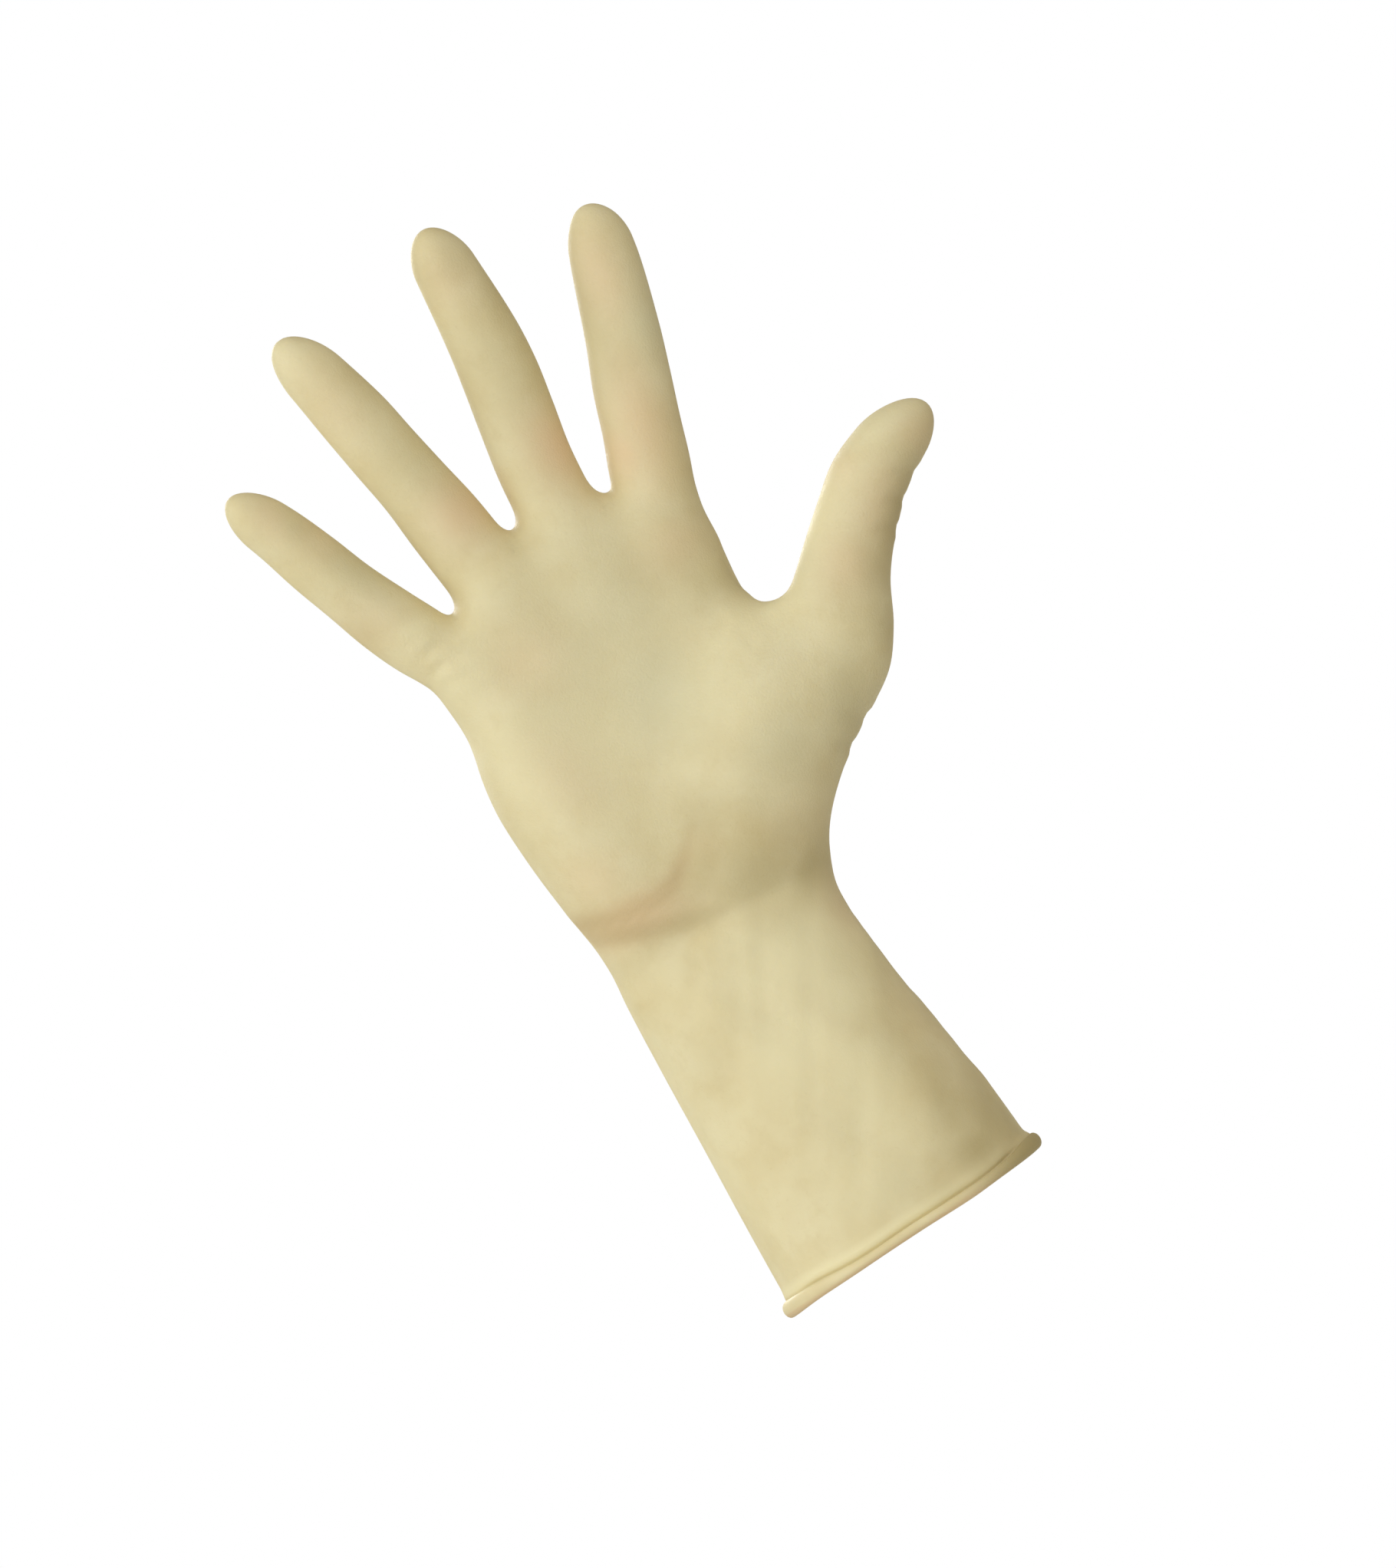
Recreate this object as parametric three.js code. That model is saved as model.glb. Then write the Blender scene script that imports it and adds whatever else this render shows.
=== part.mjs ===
// A surgeon's glove for the right hand, in natural rubber latex, in the shape it has when worn:
// fingers spread, palm to the front, thumb out to the right, and a long cuff with a rolled bead.
//
// Millimetres, +Z up along the cuff, +X towards the thumb, palm facing -Y.
// The origin is the middle of the cuff's opening, in the plane of the bead.
//
// The real glove is one dipped film whose edge is rolled up into a bead. The film is found as the
// zero level of one smooth distance function, and a net of quads is laid on that level, so that
// fingers, webs, palm and cuff run into each other with no seam, as a dipped film does.

import * as THREE from "three";

// Driving sizes.
const WALL = 1.2; // film, drawn thicker than the real 0.2
const GAP = 0.3; // clearance between the film and the bead
const FILM_EDGE = -0.6; // height of the film's lower edge, behind the bead
const RIGHT_ANGLE = Math.PI / 2;

// Cuff, wrist and palm: one row for each level section. left and right are its edges, front and
// back its depth on the palm's side and on the other, square how far from an ellipse it is.
const SECTIONS = [
  { up: -10, left: -38.6, right: 38.2, front: 31.5, back: 31.5, square: 2.4 },
  { up: 4, left: -38.0, right: 37.6, front: 31, back: 31, square: 2.4 },
  { up: 22, left: -36.6, right: 36.8, front: 29.5, back: 29.5, square: 2.4 },
  { up: 46, left: -34.4, right: 34.2, front: 27, back: 27.5, square: 2.4 },
  { up: 70, left: -32.3, right: 32.4, front: 24.5, back: 25, square: 2.4 },
  { up: 88, left: -30.5, right: 31.8, front: 22, back: 23, square: 2.4 },
  { up: 98, left: -29.1, right: 32.5, front: 20.5, back: 21.5, square: 2.45 },
  { up: 108, left: -28.7, right: 37, front: 22, back: 20.5, square: 2.4 },
  { up: 120, left: -28.8, right: 43, front: 22.5, back: 19.5, square: 2.5 },
  { up: 136, left: -28.8, right: 49, front: 19.5, back: 18.5, square: 2.6 },
  { up: 150, left: -28.8, right: 52.5, front: 16.5, back: 17.5, square: 2.6 },
  { up: 165, left: -26.3, right: 54, front: 14.5, back: 16.5, square: 2.6 },
  { up: 180, left: -21.5, right: 50.8, front: 13.5, back: 15, square: 2.6 },
  { up: 205, left: -16, right: 52, front: 11, back: 11.5, square: 2.4 },
];

// Where the palm ends between the fingers, going across the hand.
const PALM_TOP = [
  { across: -34, up: 168 },
  { across: -11, up: 187 },
  { across: 14, up: 194.5 },
  { across: 38, up: 191 },
  { across: 60, up: 172 },
];
const PALM_TOP_ROUND = 10; // how far the palm's end is rounded over
const WEB_SLOPE = 0.3; // a web stands lower on the back of the hand than on the palm's side

// Digits. Each has a straight axis from base to tip in the plane of the palm, and a row for each
// station along it: shift is the middle's distance to the right of the axis, half the half width,
// bend how far the middle lies back from the palm's middle plane, deep the half depth.
const DIGITS = {
  little: {
    base: [-18, 185],
    tip: [-42.6, 256.5],
    round: 12,
    rows: [
      { along: -25, shift: 5, half: 7.5, bend: 1, deep: 11 },
      { along: 0, shift: 1.3, half: 8.2, bend: 0, deep: 10.5 },
      { along: 12, shift: 0, half: 9.4, bend: -0.5, deep: 9.8 },
      { along: 24, shift: -0.8, half: 9.2, bend: -1.5, deep: 9.2 },
      { along: 36, shift: -0.9, half: 8.5, bend: -3, deep: 8.4 },
      { along: 48, shift: -0.6, half: 8.3, bend: -5, deep: 8.2 },
      { along: 60, shift: -0.3, half: 7.6, bend: -7.5, deep: 7.4 },
      { along: 75.5, shift: -1, half: 6.5, bend: -10.5, deep: 6.2 },
    ],
  },
  ring: {
    base: [0.5, 190],
    tip: [-8.6, 283.3],
    round: 13.5,
    rows: [
      { along: -25, shift: 1, half: 9.5, bend: 2, deep: 12 },
      { along: 0, shift: 1.6, half: 10.2, bend: 1.5, deep: 11.5 },
      { along: 18, shift: 2.3, half: 10.5, bend: 0.5, deep: 10.6 },
      { along: 30, shift: 2.5, half: 10.4, bend: -1, deep: 10 },
      { along: 42, shift: 2.4, half: 9.7, bend: -2.5, deep: 9.3 },
      { along: 54, shift: 1.9, half: 9.5, bend: -4.5, deep: 9.2 },
      { along: 66, shift: 1.5, half: 9.3, bend: -7, deep: 8.6 },
      { along: 84, shift: 0.1, half: 8.1, bend: -11, deep: 7.4 },
      { along: 93.7, shift: -1.2, half: 7.8, bend: -13, deep: 6.6 },
    ],
  },
  middle: {
    base: [27, 190],
    tip: [37.5, 286.4],
    round: 11.3,
    rows: [
      { along: -25, shift: -2, half: 9.8, bend: 2.5, deep: 12.4 },
      { along: 0, shift: -2.4, half: 10.2, bend: 2, deep: 12 },
      { along: 18, shift: -2.4, half: 10.3, bend: 1, deep: 11 },
      { along: 30, shift: -2.1, half: 10.3, bend: -0.5, deep: 10.3 },
      { along: 42, shift: -0.8, half: 10.4, bend: -2, deep: 9.7 },
      { along: 54, shift: 0.5, half: 10.3, bend: -4, deep: 9.5 },
      { along: 66, shift: 1.1, half: 9.7, bend: -6.5, deep: 9 },
      { along: 84, shift: 0.7, half: 8.4, bend: -10.5, deep: 7.8 },
      { along: 97.3, shift: 0.2, half: 7.3, bend: -13, deep: 6.9 },
    ],
  },
  index: {
    base: [51, 183],
    tip: [75.1, 268.8],
    round: 11.3,
    rows: [
      { along: -25, shift: -4, half: 7.5, bend: 2, deep: 12 },
      { along: 0, shift: -4.8, half: 9.3, bend: 1, deep: 11.5 },
      { along: 18, shift: -3.8, half: 10.8, bend: 0, deep: 10.8 },
      { along: 30, shift: -2.5, half: 10.5, bend: -1.5, deep: 10.1 },
      { along: 42, shift: -1.3, half: 10.5, bend: -3, deep: 9.5 },
      { along: 54, shift: 0.2, half: 10, bend: -5, deep: 9.3 },
      { along: 72, shift: 1.6, half: 9.2, bend: -8, deep: 8.2 },
      { along: 84, shift: 2, half: 8, bend: -10, deep: 7.4 },
      { along: 89.1, shift: 1.6, half: 7.8, bend: -11, deep: 7 },
    ],
  },
  thumb: {
    base: [66, 134],
    tip: [121.2, 177.4],
    round: 13,
    rows: [
      { along: -48, shift: -5, half: 13, bend: -6, deep: 13 },
      { along: -32, shift: -4.6, half: 13.4, bend: -8.5, deep: 14 },
      { along: -18, shift: -3.6, half: 14.3, bend: -10.5, deep: 14.5 },
      { along: 0, shift: -1.4, half: 15, bend: -13, deep: 13 },
      { along: 12, shift: -2.7, half: 13.9, bend: -14.5, deep: 12 },
      { along: 24, shift: -5.6, half: 12, bend: -15.5, deep: 11.2 },
      { along: 36, shift: -6.8, half: 10.9, bend: -16.5, deep: 10.8 },
      { along: 48, shift: -6.9, half: 10.3, bend: -17, deep: 11 },
      { along: 60, shift: -3.9, half: 9.4, bend: -17, deep: 10.2 },
      { along: 70.2, shift: -0.6, half: 8.4, bend: -16.5, deep: 9 },
    ],
  },
};
const FINGERS = ["little", "ring", "middle", "index"];

// Soft mounds: where each one's middle is, its half sizes, and its lean to the right in degrees.
const MOUNDS = {
  thumb_ball: { at: [39, -12, 132], half: [15, 15, 24], lean: 40 },
  little_side: { at: [-15, -9, 134], half: [12, 13, 30], lean: -4 },
  little_knuckle: { at: [-14, 6, 178], half: [7, 8, 10], lean: 0 },
  ring_knuckle: { at: [4, 8.5, 187], half: [9, 8.5, 11], lean: 0 },
  middle_knuckle: { at: [27, 9, 188], half: [9.5, 9, 12], lean: 0 },
  index_knuckle: { at: [45, 7.5, 181], half: [8, 8.5, 11], lean: 0 },
};

// How widely neighbours run into each other.
const BLEND = { fingers: 5, palm: 10, thumb: 21, mounds: 14 };

// The net. Five rays run up the body to the sides of the fingers: across is where a ray stands at
// the cuff and at the fingers' base, then its height at the thumb's upper edge and at the base.
const RAYS = [
  { cuff: -22, base: -21, thumb_top: 150, base_front: 184, base_back: 180 },
  { cuff: -11, base: -10.5, thumb_top: 160, base_front: 192, base_back: 187 },
  { cuff: 0, base: 13.8, thumb_top: 165, base_front: 201, base_back: 195 },
  { cuff: 11, base: 38.5, thumb_top: 162, base_front: 196, base_back: 190 },
  { cuff: 22, base: 47, thumb_top: 157, base_front: 183, base_back: 180 },
];
const COLUMNS = 4; // quads across a finger
const SIDE = 4; // quads over a web, or round a side
const CUFF_ROWS = 10;
const THUMB_ROWS = 6; // rows that the thumb's root takes up
const TOP_ROWS = 3;
const ROOT_COLUMNS = 2; // front and back columns that the thumb's root takes up
const DIGIT_ROWS = 10;
const CAP_ROWS = 3;
const THUMB_LOW = 97; // the thumb's lower edge leaves the wrist here
const THUMB_WEB = { from: [40, 0, 138], towards: [58, 0, 155] }; // a ray out through the web
const EASE = 8; // how often the net is evened out
const FINGER_FAN = 3; // rings that a finger's net takes from its base ring's spacing to an even one
const THUMB_FAN = 5;
const RING_EASE = 0.25; // how much closer a digit's rings stand at its two ends
const POLE_SPREAD = 0.6; // the last ring's distance from the pole, in cap rows
const POLE_START = 2; // a tip's spoke starts this far inside
const EDGE_TURN = Math.PI / 3.6; // how far the outermost body spokes turn outwards

// The bead: a row for each place round the cuff, in degrees from the thumb's side over the front,
// with the height of its upper and of its lower edge.
const BEAD_ROUND = [
  { turn: 0, top: 2.9, bottom: -1.3 },
  { turn: 22, top: 2.9, bottom: -1.6 },
  { turn: 40, top: 1.6, bottom: -2.2 },
  { turn: 60, top: 1.0, bottom: -2.5 },
  { turn: 90, top: 1.0, bottom: -2.1 },
  { turn: 120, top: 1.2, bottom: -1.8 },
  { turn: 145, top: 2.0, bottom: -2.3 },
  { turn: 180, top: 1.5, bottom: -2.8 },
  { turn: 225, top: 1.3, bottom: -2.4 },
  { turn: 270, top: 1.2, bottom: -2.2 },
  { turn: 320, top: 1.8, bottom: -2.0 },
  { turn: 360, top: 2.9, bottom: -1.3 },
];
const BEAD_HALF = 1.15; // half its thickness
const BEAD_STATIONS = 64;
const BEAD_SIDES = 12;

const mix = (a, b, t) => a + (b - a) * t;
const smooth = (t) => t * t * (3 - 2 * t);

// A smooth curve through one column of a table, as a function of the table's first column.
function curve(rows, key, column) {
  const x = rows.map((row) => row[key]);
  const y = rows.map((row) => row[column]);
  const last = x.length - 1;
  const slope = y.map((_, i) => {
    const a = Math.max(i - 1, 0);
    const b = Math.min(i + 1, last);
    return (y[b] - y[a]) / (x[b] - x[a]);
  });
  return (at) => {
    const s = Math.min(Math.max(at, x[0]), x[last]);
    let i = 0;
    while (i < last - 1 && s > x[i + 1]) i++;
    const w = x[i + 1] - x[i];
    const t = (s - x[i]) / w;
    const rise = smooth(t);
    return (
      y[i] * (1 - rise) +
      y[i + 1] * rise +
      w * t * (1 - t) * (slope[i] * (1 - t) - slope[i + 1] * t)
    );
  };
}

function curves(rows, key) {
  const columns = Object.keys(rows[0]).filter((name) => name !== key);
  return Object.fromEntries(columns.map((c) => [c, curve(rows, key, c)]));
}

const section = curves(SECTIONS, "up");
const palmTop = curve(PALM_TOP, "across", "up");

const digits = Object.fromEntries(
  Object.entries(DIGITS).map(([name, digit]) => {
    const [dx, dz] = [digit.tip[0] - digit.base[0], digit.tip[1] - digit.base[1]];
    const length = Math.hypot(dx, dz);
    const axis = [dx / length, dz / length];
    return [name, { ...digit, length, axis, ...curves(digit.rows, "along") }];
  }),
);

const TINY = 1e-6; // keeps the powers below away from zero

// About how far a point is outside a rounded section. x, y and z are its distances from the
// middle as shares of the half sizes a, b and c, and the sum is divided by its own steepness.
function outside(x, y, z, a, b, c, square) {
  const px = Math.abs(x) + TINY;
  const py = Math.abs(y) + TINY;
  const flat = (px ** square + py ** square) ** (1 / square);
  const q = Math.hypot(flat, z);
  const gx = (px / flat) ** (square - 1) / a;
  const gy = (py / flat) ** (square - 1) / b;
  const steep = Math.hypot((flat / q) * gx, (flat / q) * gy, z / q / c);
  return (q - 1) / steep;
}

// The smaller of two distances, rounded where they are closer together than width.
function blend(a, b, width) {
  const h = Math.max(width - Math.abs(a - b), 0) / width;
  return Math.min(a, b) - (h * h * width) / 4;
}

function palmDistance(x, y, z) {
  const left = section.left(z);
  const right = section.right(z);
  const a = (right - left) / 2;
  const b = y < 0 ? section.front(z) : section.back(z);
  const over = Math.max(0, z + WEB_SLOPE * y - palmTop(x)) / PALM_TOP_ROUND;
  return outside((x - (left + right) / 2) / a, y / b, over, a, b, PALM_TOP_ROUND, section.square(z));
}

// A point in a digit's own terms: how far along its axis, and how far to the right of it.
function inDigit(digit, x, z) {
  const [dx, dz] = [x - digit.base[0], z - digit.base[1]];
  const [ax, az] = digit.axis;
  return { along: dx * ax + dz * az, right: dx * az - dz * ax };
}

function digitDistance(digit, x, y, z) {
  const { along, right } = inDigit(digit, x, z);
  const a = digit.half(along);
  const b = digit.deep(along);
  const start = digit.rows[0].along;
  const over = Math.max(0, along - digit.length + digit.round) / digit.round;
  const under = Math.max(0, start - along) / digit.round;
  const u = (right - digit.shift(along)) / a;
  const v = (y - digit.bend(along)) / b;
  return outside(u, v, over + under, a, b, digit.round, 2);
}

function moundDistance({ at, half, lean }, x, y, z) {
  const turn = THREE.MathUtils.degToRad(lean);
  const [dx, dz] = [x - at[0], z - at[2]];
  const u = dx * Math.cos(turn) - dz * Math.sin(turn);
  const w = dx * Math.sin(turn) + dz * Math.cos(turn);
  return outside(u / half[0], (y - at[1]) / half[1], w / half[2], half[0], half[1], half[2], 2);
}

// The glove's outside is where this is zero. Inside it is negative.
function distance(x, y, z) {
  let fingers = Infinity;
  for (const name of FINGERS) {
    const d = digitDistance(digits[name], x, y, z);
    fingers = fingers === Infinity ? d : blend(fingers, d, BLEND.fingers);
  }
  let all = blend(palmDistance(x, y, z), fingers, BLEND.palm);
  all = blend(all, digitDistance(digits.thumb, x, y, z), BLEND.thumb);
  for (const mound of Object.values(MOUNDS)) {
    all = blend(all, moundDistance(mound, x, y, z), BLEND.mounds);
  }
  return all;
}

const STEP = 0.05; // for slopes
const SETTLE_STEPS = 12;
const CLOSE_ENOUGH = 1e-4;
const LONGEST_MOVE = 3;
const REACH = 120; // the longest spoke
const HALVINGS = 24;

function gradient(p) {
  const [x, y, z] = p;
  return [
    (distance(x + STEP, y, z) - distance(x - STEP, y, z)) / (2 * STEP),
    (distance(x, y + STEP, z) - distance(x, y - STEP, z)) / (2 * STEP),
    (distance(x, y, z + STEP) - distance(x, y, z - STEP)) / (2 * STEP),
  ];
}

// Moves a point that is near the surface onto it, down or up the slope of the distance.
function settle(p) {
  let at = p;
  for (let i = 0; i < SETTLE_STEPS; i++) {
    const height = distance(...at);
    if (Math.abs(height) < CLOSE_ENOUGH) break;
    const g = gradient(at);
    const step = height / (g[0] ** 2 + g[1] ** 2 + g[2] ** 2);
    at = at.map((v, k) => v - THREE.MathUtils.clamp(step * g[k], -LONGEST_MOVE, LONGEST_MOVE));
  }
  return at;
}

// Goes from a point inside along a direction to the surface.
function spoke(from, direction) {
  const at = (t) => from.map((v, k) => v + direction[k] * t);
  let near = 0;
  let far = 1;
  while (distance(...at(far)) < 0 && far < REACH) {
    near = far;
    far += 1;
  }
  for (let i = 0; i < HALVINGS; i++) {
    const middle = (near + far) / 2;
    if (distance(...at(middle)) < 0) near = middle;
    else far = middle;
  }
  return at(far);
}

// One vertex store and one list of quads for the whole net.
const points = [];
const quads = [];
const keep = (p) => points.push(p) - 1;

// Joins two rings of vertex numbers of the same length with quads, the second above the first.
function joinRings(low, high, closed = true) {
  const count = closed ? low.length : low.length - 1;
  for (let j = 0; j < count; j++) {
    const k = (j + 1) % low.length;
    quads.push([low[j], low[k], high[k], high[j]]);
  }
}

// Body columns, in order round the body: front from the little finger's side to the thumb's,
// right side, back, left side.
const FRONT = RAYS.length * COLUMNS - COLUMNS;
const AROUND = 2 * FRONT + 2 * SIDE;

// A column's place: its position from ray 0 to ray 4, and its direction, where 0 is the front.
function columnAt(j) {
  if (j <= FRONT) return { ray: j / COLUMNS, turn: 0, front: 1 };
  if (j < FRONT + SIDE) {
    const t = (j - FRONT) / SIDE;
    return { ray: RAYS.length - 1, turn: t, front: 1 - t };
  }
  if (j <= 2 * FRONT + SIDE) {
    return { ray: (2 * FRONT + SIDE - j) / COLUMNS, turn: 1, front: 0 };
  }
  const t = (j - 2 * FRONT - SIDE) / SIDE;
  return { ray: 0, turn: 1 - t, front: t };
}

const rayRows = RAYS.map((row, ray) => ({ ray, ...row }));
const rays = curves(rayRows, "ray");

// The surface point of body column j on body row i.
function bodyPoint(i, j) {
  const { ray, turn, front } = columnAt(j);
  const base = mix(rays.base_back(ray), rays.base_front(ray), front);
  const thumbTop = rays.thumb_top(ray);
  const top = i - CUFF_ROWS - THUMB_ROWS;
  let z;
  if (i <= CUFF_ROWS) z = mix(FILM_EDGE, THUMB_LOW, i / CUFF_ROWS);
  else if (top <= 0) z = mix(THUMB_LOW, thumbTop, (i - CUFF_ROWS) / THUMB_ROWS);
  else z = mix(thumbTop, base, top / TOP_ROWS);
  const rise = smooth(THREE.MathUtils.clamp((z - THUMB_LOW) / (base - THUMB_LOW), 0, 1));
  const x = mix(rays.cuff(ray), rays.base(ray), rise);
  if (top === 0 && turn > 0 && turn < 1 && ray > 0) {
    const out = THUMB_WEB.towards.map((v, k) => v - THUMB_WEB.from[k]);
    const angle = mix(-RIGHT_ANGLE, RIGHT_ANGLE, turn);
    const [far, back] = [Math.cos(angle) / Math.hypot(...out), Math.sin(angle)];
    return spoke(THUMB_WEB.from, [out[0] * far, back, out[2] * far]);
  }
  const side = ray / (RAYS.length - 1) - 0.5;
  const edge = Math.sign(side) * Math.abs(2 * side) ** 3 * EDGE_TURN;
  const roundSide = Math.sign(side) * mix(EDGE_TURN, Math.PI - EDGE_TURN, turn);
  const angle = turn === 0 ? edge : turn === 1 ? Math.PI - edge : roundSide;
  return spoke([x, 0, z], [Math.sin(angle), -Math.cos(angle), 0]);
}

const ROWS = CUFF_ROWS + THUMB_ROWS + TOP_ROWS;
const body = [];
for (let i = 0; i <= ROWS; i++) {
  body.push(Array.from({ length: AROUND }, (_, j) => keep(bodyPoint(i, j))));
}

// The thumb's root leaves a hole in the body: these columns, over the thumb's rows.
const rootFirst = FRONT - ROOT_COLUMNS;
const rootLast = FRONT + SIDE + ROOT_COLUMNS;
for (let i = 0; i < ROWS; i++) {
  for (let j = 0; j < AROUND; j++) {
    const inRoot = j >= rootFirst && j < rootLast && i >= CUFF_ROWS && i < CUFF_ROWS + THUMB_ROWS;
    const k = (j + 1) % AROUND;
    if (!inRoot) quads.push([body[i][j], body[i][k], body[i + 1][k], body[i + 1][j]]);
  }
}

// The line of vertices over each web, from the palm's side to the back.
const top = body[ROWS];
const backColumn = (ray) => (2 * FRONT + SIDE - ray * COLUMNS) % AROUND;
function webLine(ray) {
  const line = [top[ray * COLUMNS]];
  for (let i = 1; i < SIDE; i++) {
    const angle = mix(-RIGHT_ANGLE, RIGHT_ANGLE, i / SIDE);
    const z = mix(RAYS[ray].base_front, RAYS[ray].base_back, i / SIDE);
    line.push(keep(spoke([RAYS[ray].base, 0, z], [0, Math.sin(angle), Math.cos(angle)])));
  }
  line.push(top[backColumn(ray)]);
  return line;
}
const leftSide = [top[0]];
for (let i = 1; i <= SIDE; i++) leftSide.push(top[(AROUND - i) % AROUND]);
const rightSide = top.slice(FRONT, FRONT + SIDE + 1);
const webs = [leftSide, webLine(1), webLine(2), webLine(3), rightSide];

// Lays rings of quads from a base ring of vertices along a digit and closes them at its tip.
// angles are those round the axis that the ring's vertices tend to, and fan is how many rings
// it takes from the base ring's own spacing to those.
function growDigit(digit, ring, angles, fan) {
  const starts = ring.map((v) => inDigit(digit, points[v][0], points[v][2]).along);
  const capStart = digit.length - digit.round;
  const place = (along, right, y) => {
    const [ax, az] = digit.axis;
    return [digit.base[0] + along * ax + right * az, y, digit.base[1] + along * az - right * ax];
  };
  let low = ring;
  for (let i = 1; i <= DIGIT_ROWS + CAP_ROWS; i++) {
    const cap = Math.max(0, i - DIGIT_ROWS) / (CAP_ROWS + POLE_SPREAD);
    const plainUp = Math.min(1, i / DIGIT_ROWS);
    const up = mix(plainUp, smooth(plainUp), RING_EASE);
    const high = ring.map((v, j) => {
      const along = mix(starts[j], capStart, up) + digit.round * Math.sin(cap * RIGHT_ANGLE);
      const centre = place(along, digit.shift(along), digit.bend(along));
      const [u, y] = [Math.cos(angles[j]), Math.sin(angles[j])];
      const [ax, az] = digit.axis;
      const even = spoke(centre, [u * az, y, -u * ax]);
      const share = smooth(Math.min(1, i / fan));
      const [from, climb] = [points[v], along - starts[j]];
      const plain = [from[0] + climb * ax, from[1], from[2] + climb * az];
      return keep(share === 1 ? even : settle(plain.map((p, k) => mix(p, even[k], share))));
    });
    joinRings(low, high);
    low = high;
  }
  const inside = digit.length - POLE_START;
  const from = place(inside, digit.shift(inside), digit.bend(inside));
  const pole = keep(spoke(from, [digit.axis[0], 0, digit.axis[1]]));
  low.forEach((v, j) => quads.push([v, low[(j + 1) % low.length], pole]));
}

// Even angles round a digit for a ring of four runs: front, right, back, left.
function evenAngles(counts) {
  const angles = [];
  counts.forEach((count, run) => {
    for (let j = 0; j < count; j++) angles.push(RIGHT_ANGLE * (run - 1.5 + j / count));
  });
  return angles;
}

FINGERS.forEach((name, i) => {
  const front = top.slice(i * COLUMNS, (i + 1) * COLUMNS);
  const right = webs[i + 1].slice(0, -1);
  const back = [];
  for (let j = 0; j < COLUMNS; j++) back.push(top[backColumn(i + 1) + j]);
  const left = [...webs[i]].reverse().slice(0, -1);
  const ring = [...front, ...right, ...back, ...left];
  growDigit(digits[name], ring, evenAngles([COLUMNS, SIDE, COLUMNS, SIDE]), FINGER_FAN);
});

// The thumb's ring runs down the front of the hole, along its lower edge, up its back, and over.
const low = CUFF_ROWS;
const high = CUFF_ROWS + THUMB_ROWS;
const rim = [];
for (let i = high; i > low; i--) rim.push(body[i][rootFirst]);
for (let j = rootFirst; j < rootLast; j++) rim.push(body[low][j]);
for (let i = low; i < high; i++) rim.push(body[i][rootLast]);
for (let j = rootLast; j > rootFirst; j--) rim.push(body[high][j]);
const across = rootLast - rootFirst;
growDigit(digits.thumb, rim, evenAngles([THUMB_ROWS, across, THUMB_ROWS, across]), THUMB_FAN);

// Evens the net out: each vertex goes half way to the middle of its neighbours and back onto the
// surface. The film's edge stays.
const near = points.map(() => new Set());
for (const quad of quads) {
  quad.forEach((v, j) => {
    const w = quad[(j + 1) % quad.length];
    near[v].add(w);
    near[w].add(v);
  });
}
const fixed = new Set(body[0]);
for (let pass = 0; pass < EASE; pass++) {
  const middles = near.map((set) => {
    const sum = [0, 0, 0];
    set.forEach((w) => points[w].forEach((v, k) => (sum[k] += v / set.size)));
    return sum;
  });
  points.forEach((p, i) => {
    if (!fixed.has(i)) points[i] = settle(p.map((v, k) => mix(v, middles[i][k], 0.5)));
  });
}

// The inside is the same net moved in by the wall, and a strip joins both at the film's edge.
const outer = points.length;
for (let i = 0; i < outer; i++) {
  const g = gradient(points[i]);
  const size = Math.hypot(...g);
  keep(points[i].map((v, k) => v - (WALL * g[k]) / size));
}
const rimInside = body[0].map((v) => v + outer);
rimInside.forEach((v) => (points[v][2] = FILM_EDGE));
const outerQuads = quads.length;
for (let i = 0; i < outerQuads; i++) quads.push(quads[i].map((v) => v + outer).reverse());
joinRings(rimInside, body[0]);

// Splits each face into triangles across its shorter diagonal.
function filmGeometry() {
  const index = [];
  const far = (a, b) => Math.hypot(...points[a].map((v, k) => v - points[b][k]));
  for (const [a, b, c, d] of quads) {
    if (d === undefined) index.push(a, b, c);
    else if (far(a, c) < far(b, d)) index.push(a, b, c, a, c, d);
    else index.push(a, b, d, b, c, d);
  }
  const geometry = new THREE.BufferGeometry();
  geometry.setAttribute("position", new THREE.Float32BufferAttribute(points.flat(), 3));
  geometry.setIndex(index);
  geometry.computeVertexNormals();
  return geometry;
}

// The bead is an oval tube laid round the film's edge, a little way off it.
function beadGeometry() {
  const bead = curves(BEAD_ROUND, "turn");
  const at = [];
  const index = [];
  for (let i = 0; i < BEAD_STATIONS; i++) {
    const degrees = (i * 360) / BEAD_STATIONS;
    const turn = THREE.MathUtils.degToRad(degrees);
    const [x, y] = spoke([0, 0, 0], [Math.cos(turn), -Math.sin(turn), 0]);
    const g = gradient([x, y, 0]);
    const [nx, ny] = [g[0], g[1]].map((v) => v / Math.hypot(g[0], g[1]));
    const middle = (bead.top(degrees) + bead.bottom(degrees)) / 2;
    const tall = (bead.top(degrees) - bead.bottom(degrees)) / 2;
    for (let j = 0; j < BEAD_SIDES; j++) {
      const angle = (j * 2 * Math.PI) / BEAD_SIDES;
      const out = GAP + BEAD_HALF * (1 + Math.cos(angle));
      at.push(x + out * nx, y + out * ny, middle + tall * Math.sin(angle));
      const [p, q] = [i * BEAD_SIDES, ((i + 1) % BEAD_STATIONS) * BEAD_SIDES];
      const k = (j + 1) % BEAD_SIDES;
      index.push(p + j, p + k, q + k, p + j, q + k, q + j);
    }
  }
  const geometry = new THREE.BufferGeometry();
  geometry.setAttribute("position", new THREE.Float32BufferAttribute(at, 3));
  geometry.setIndex(index);
  geometry.computeVertexNormals();
  return geometry;
}

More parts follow.
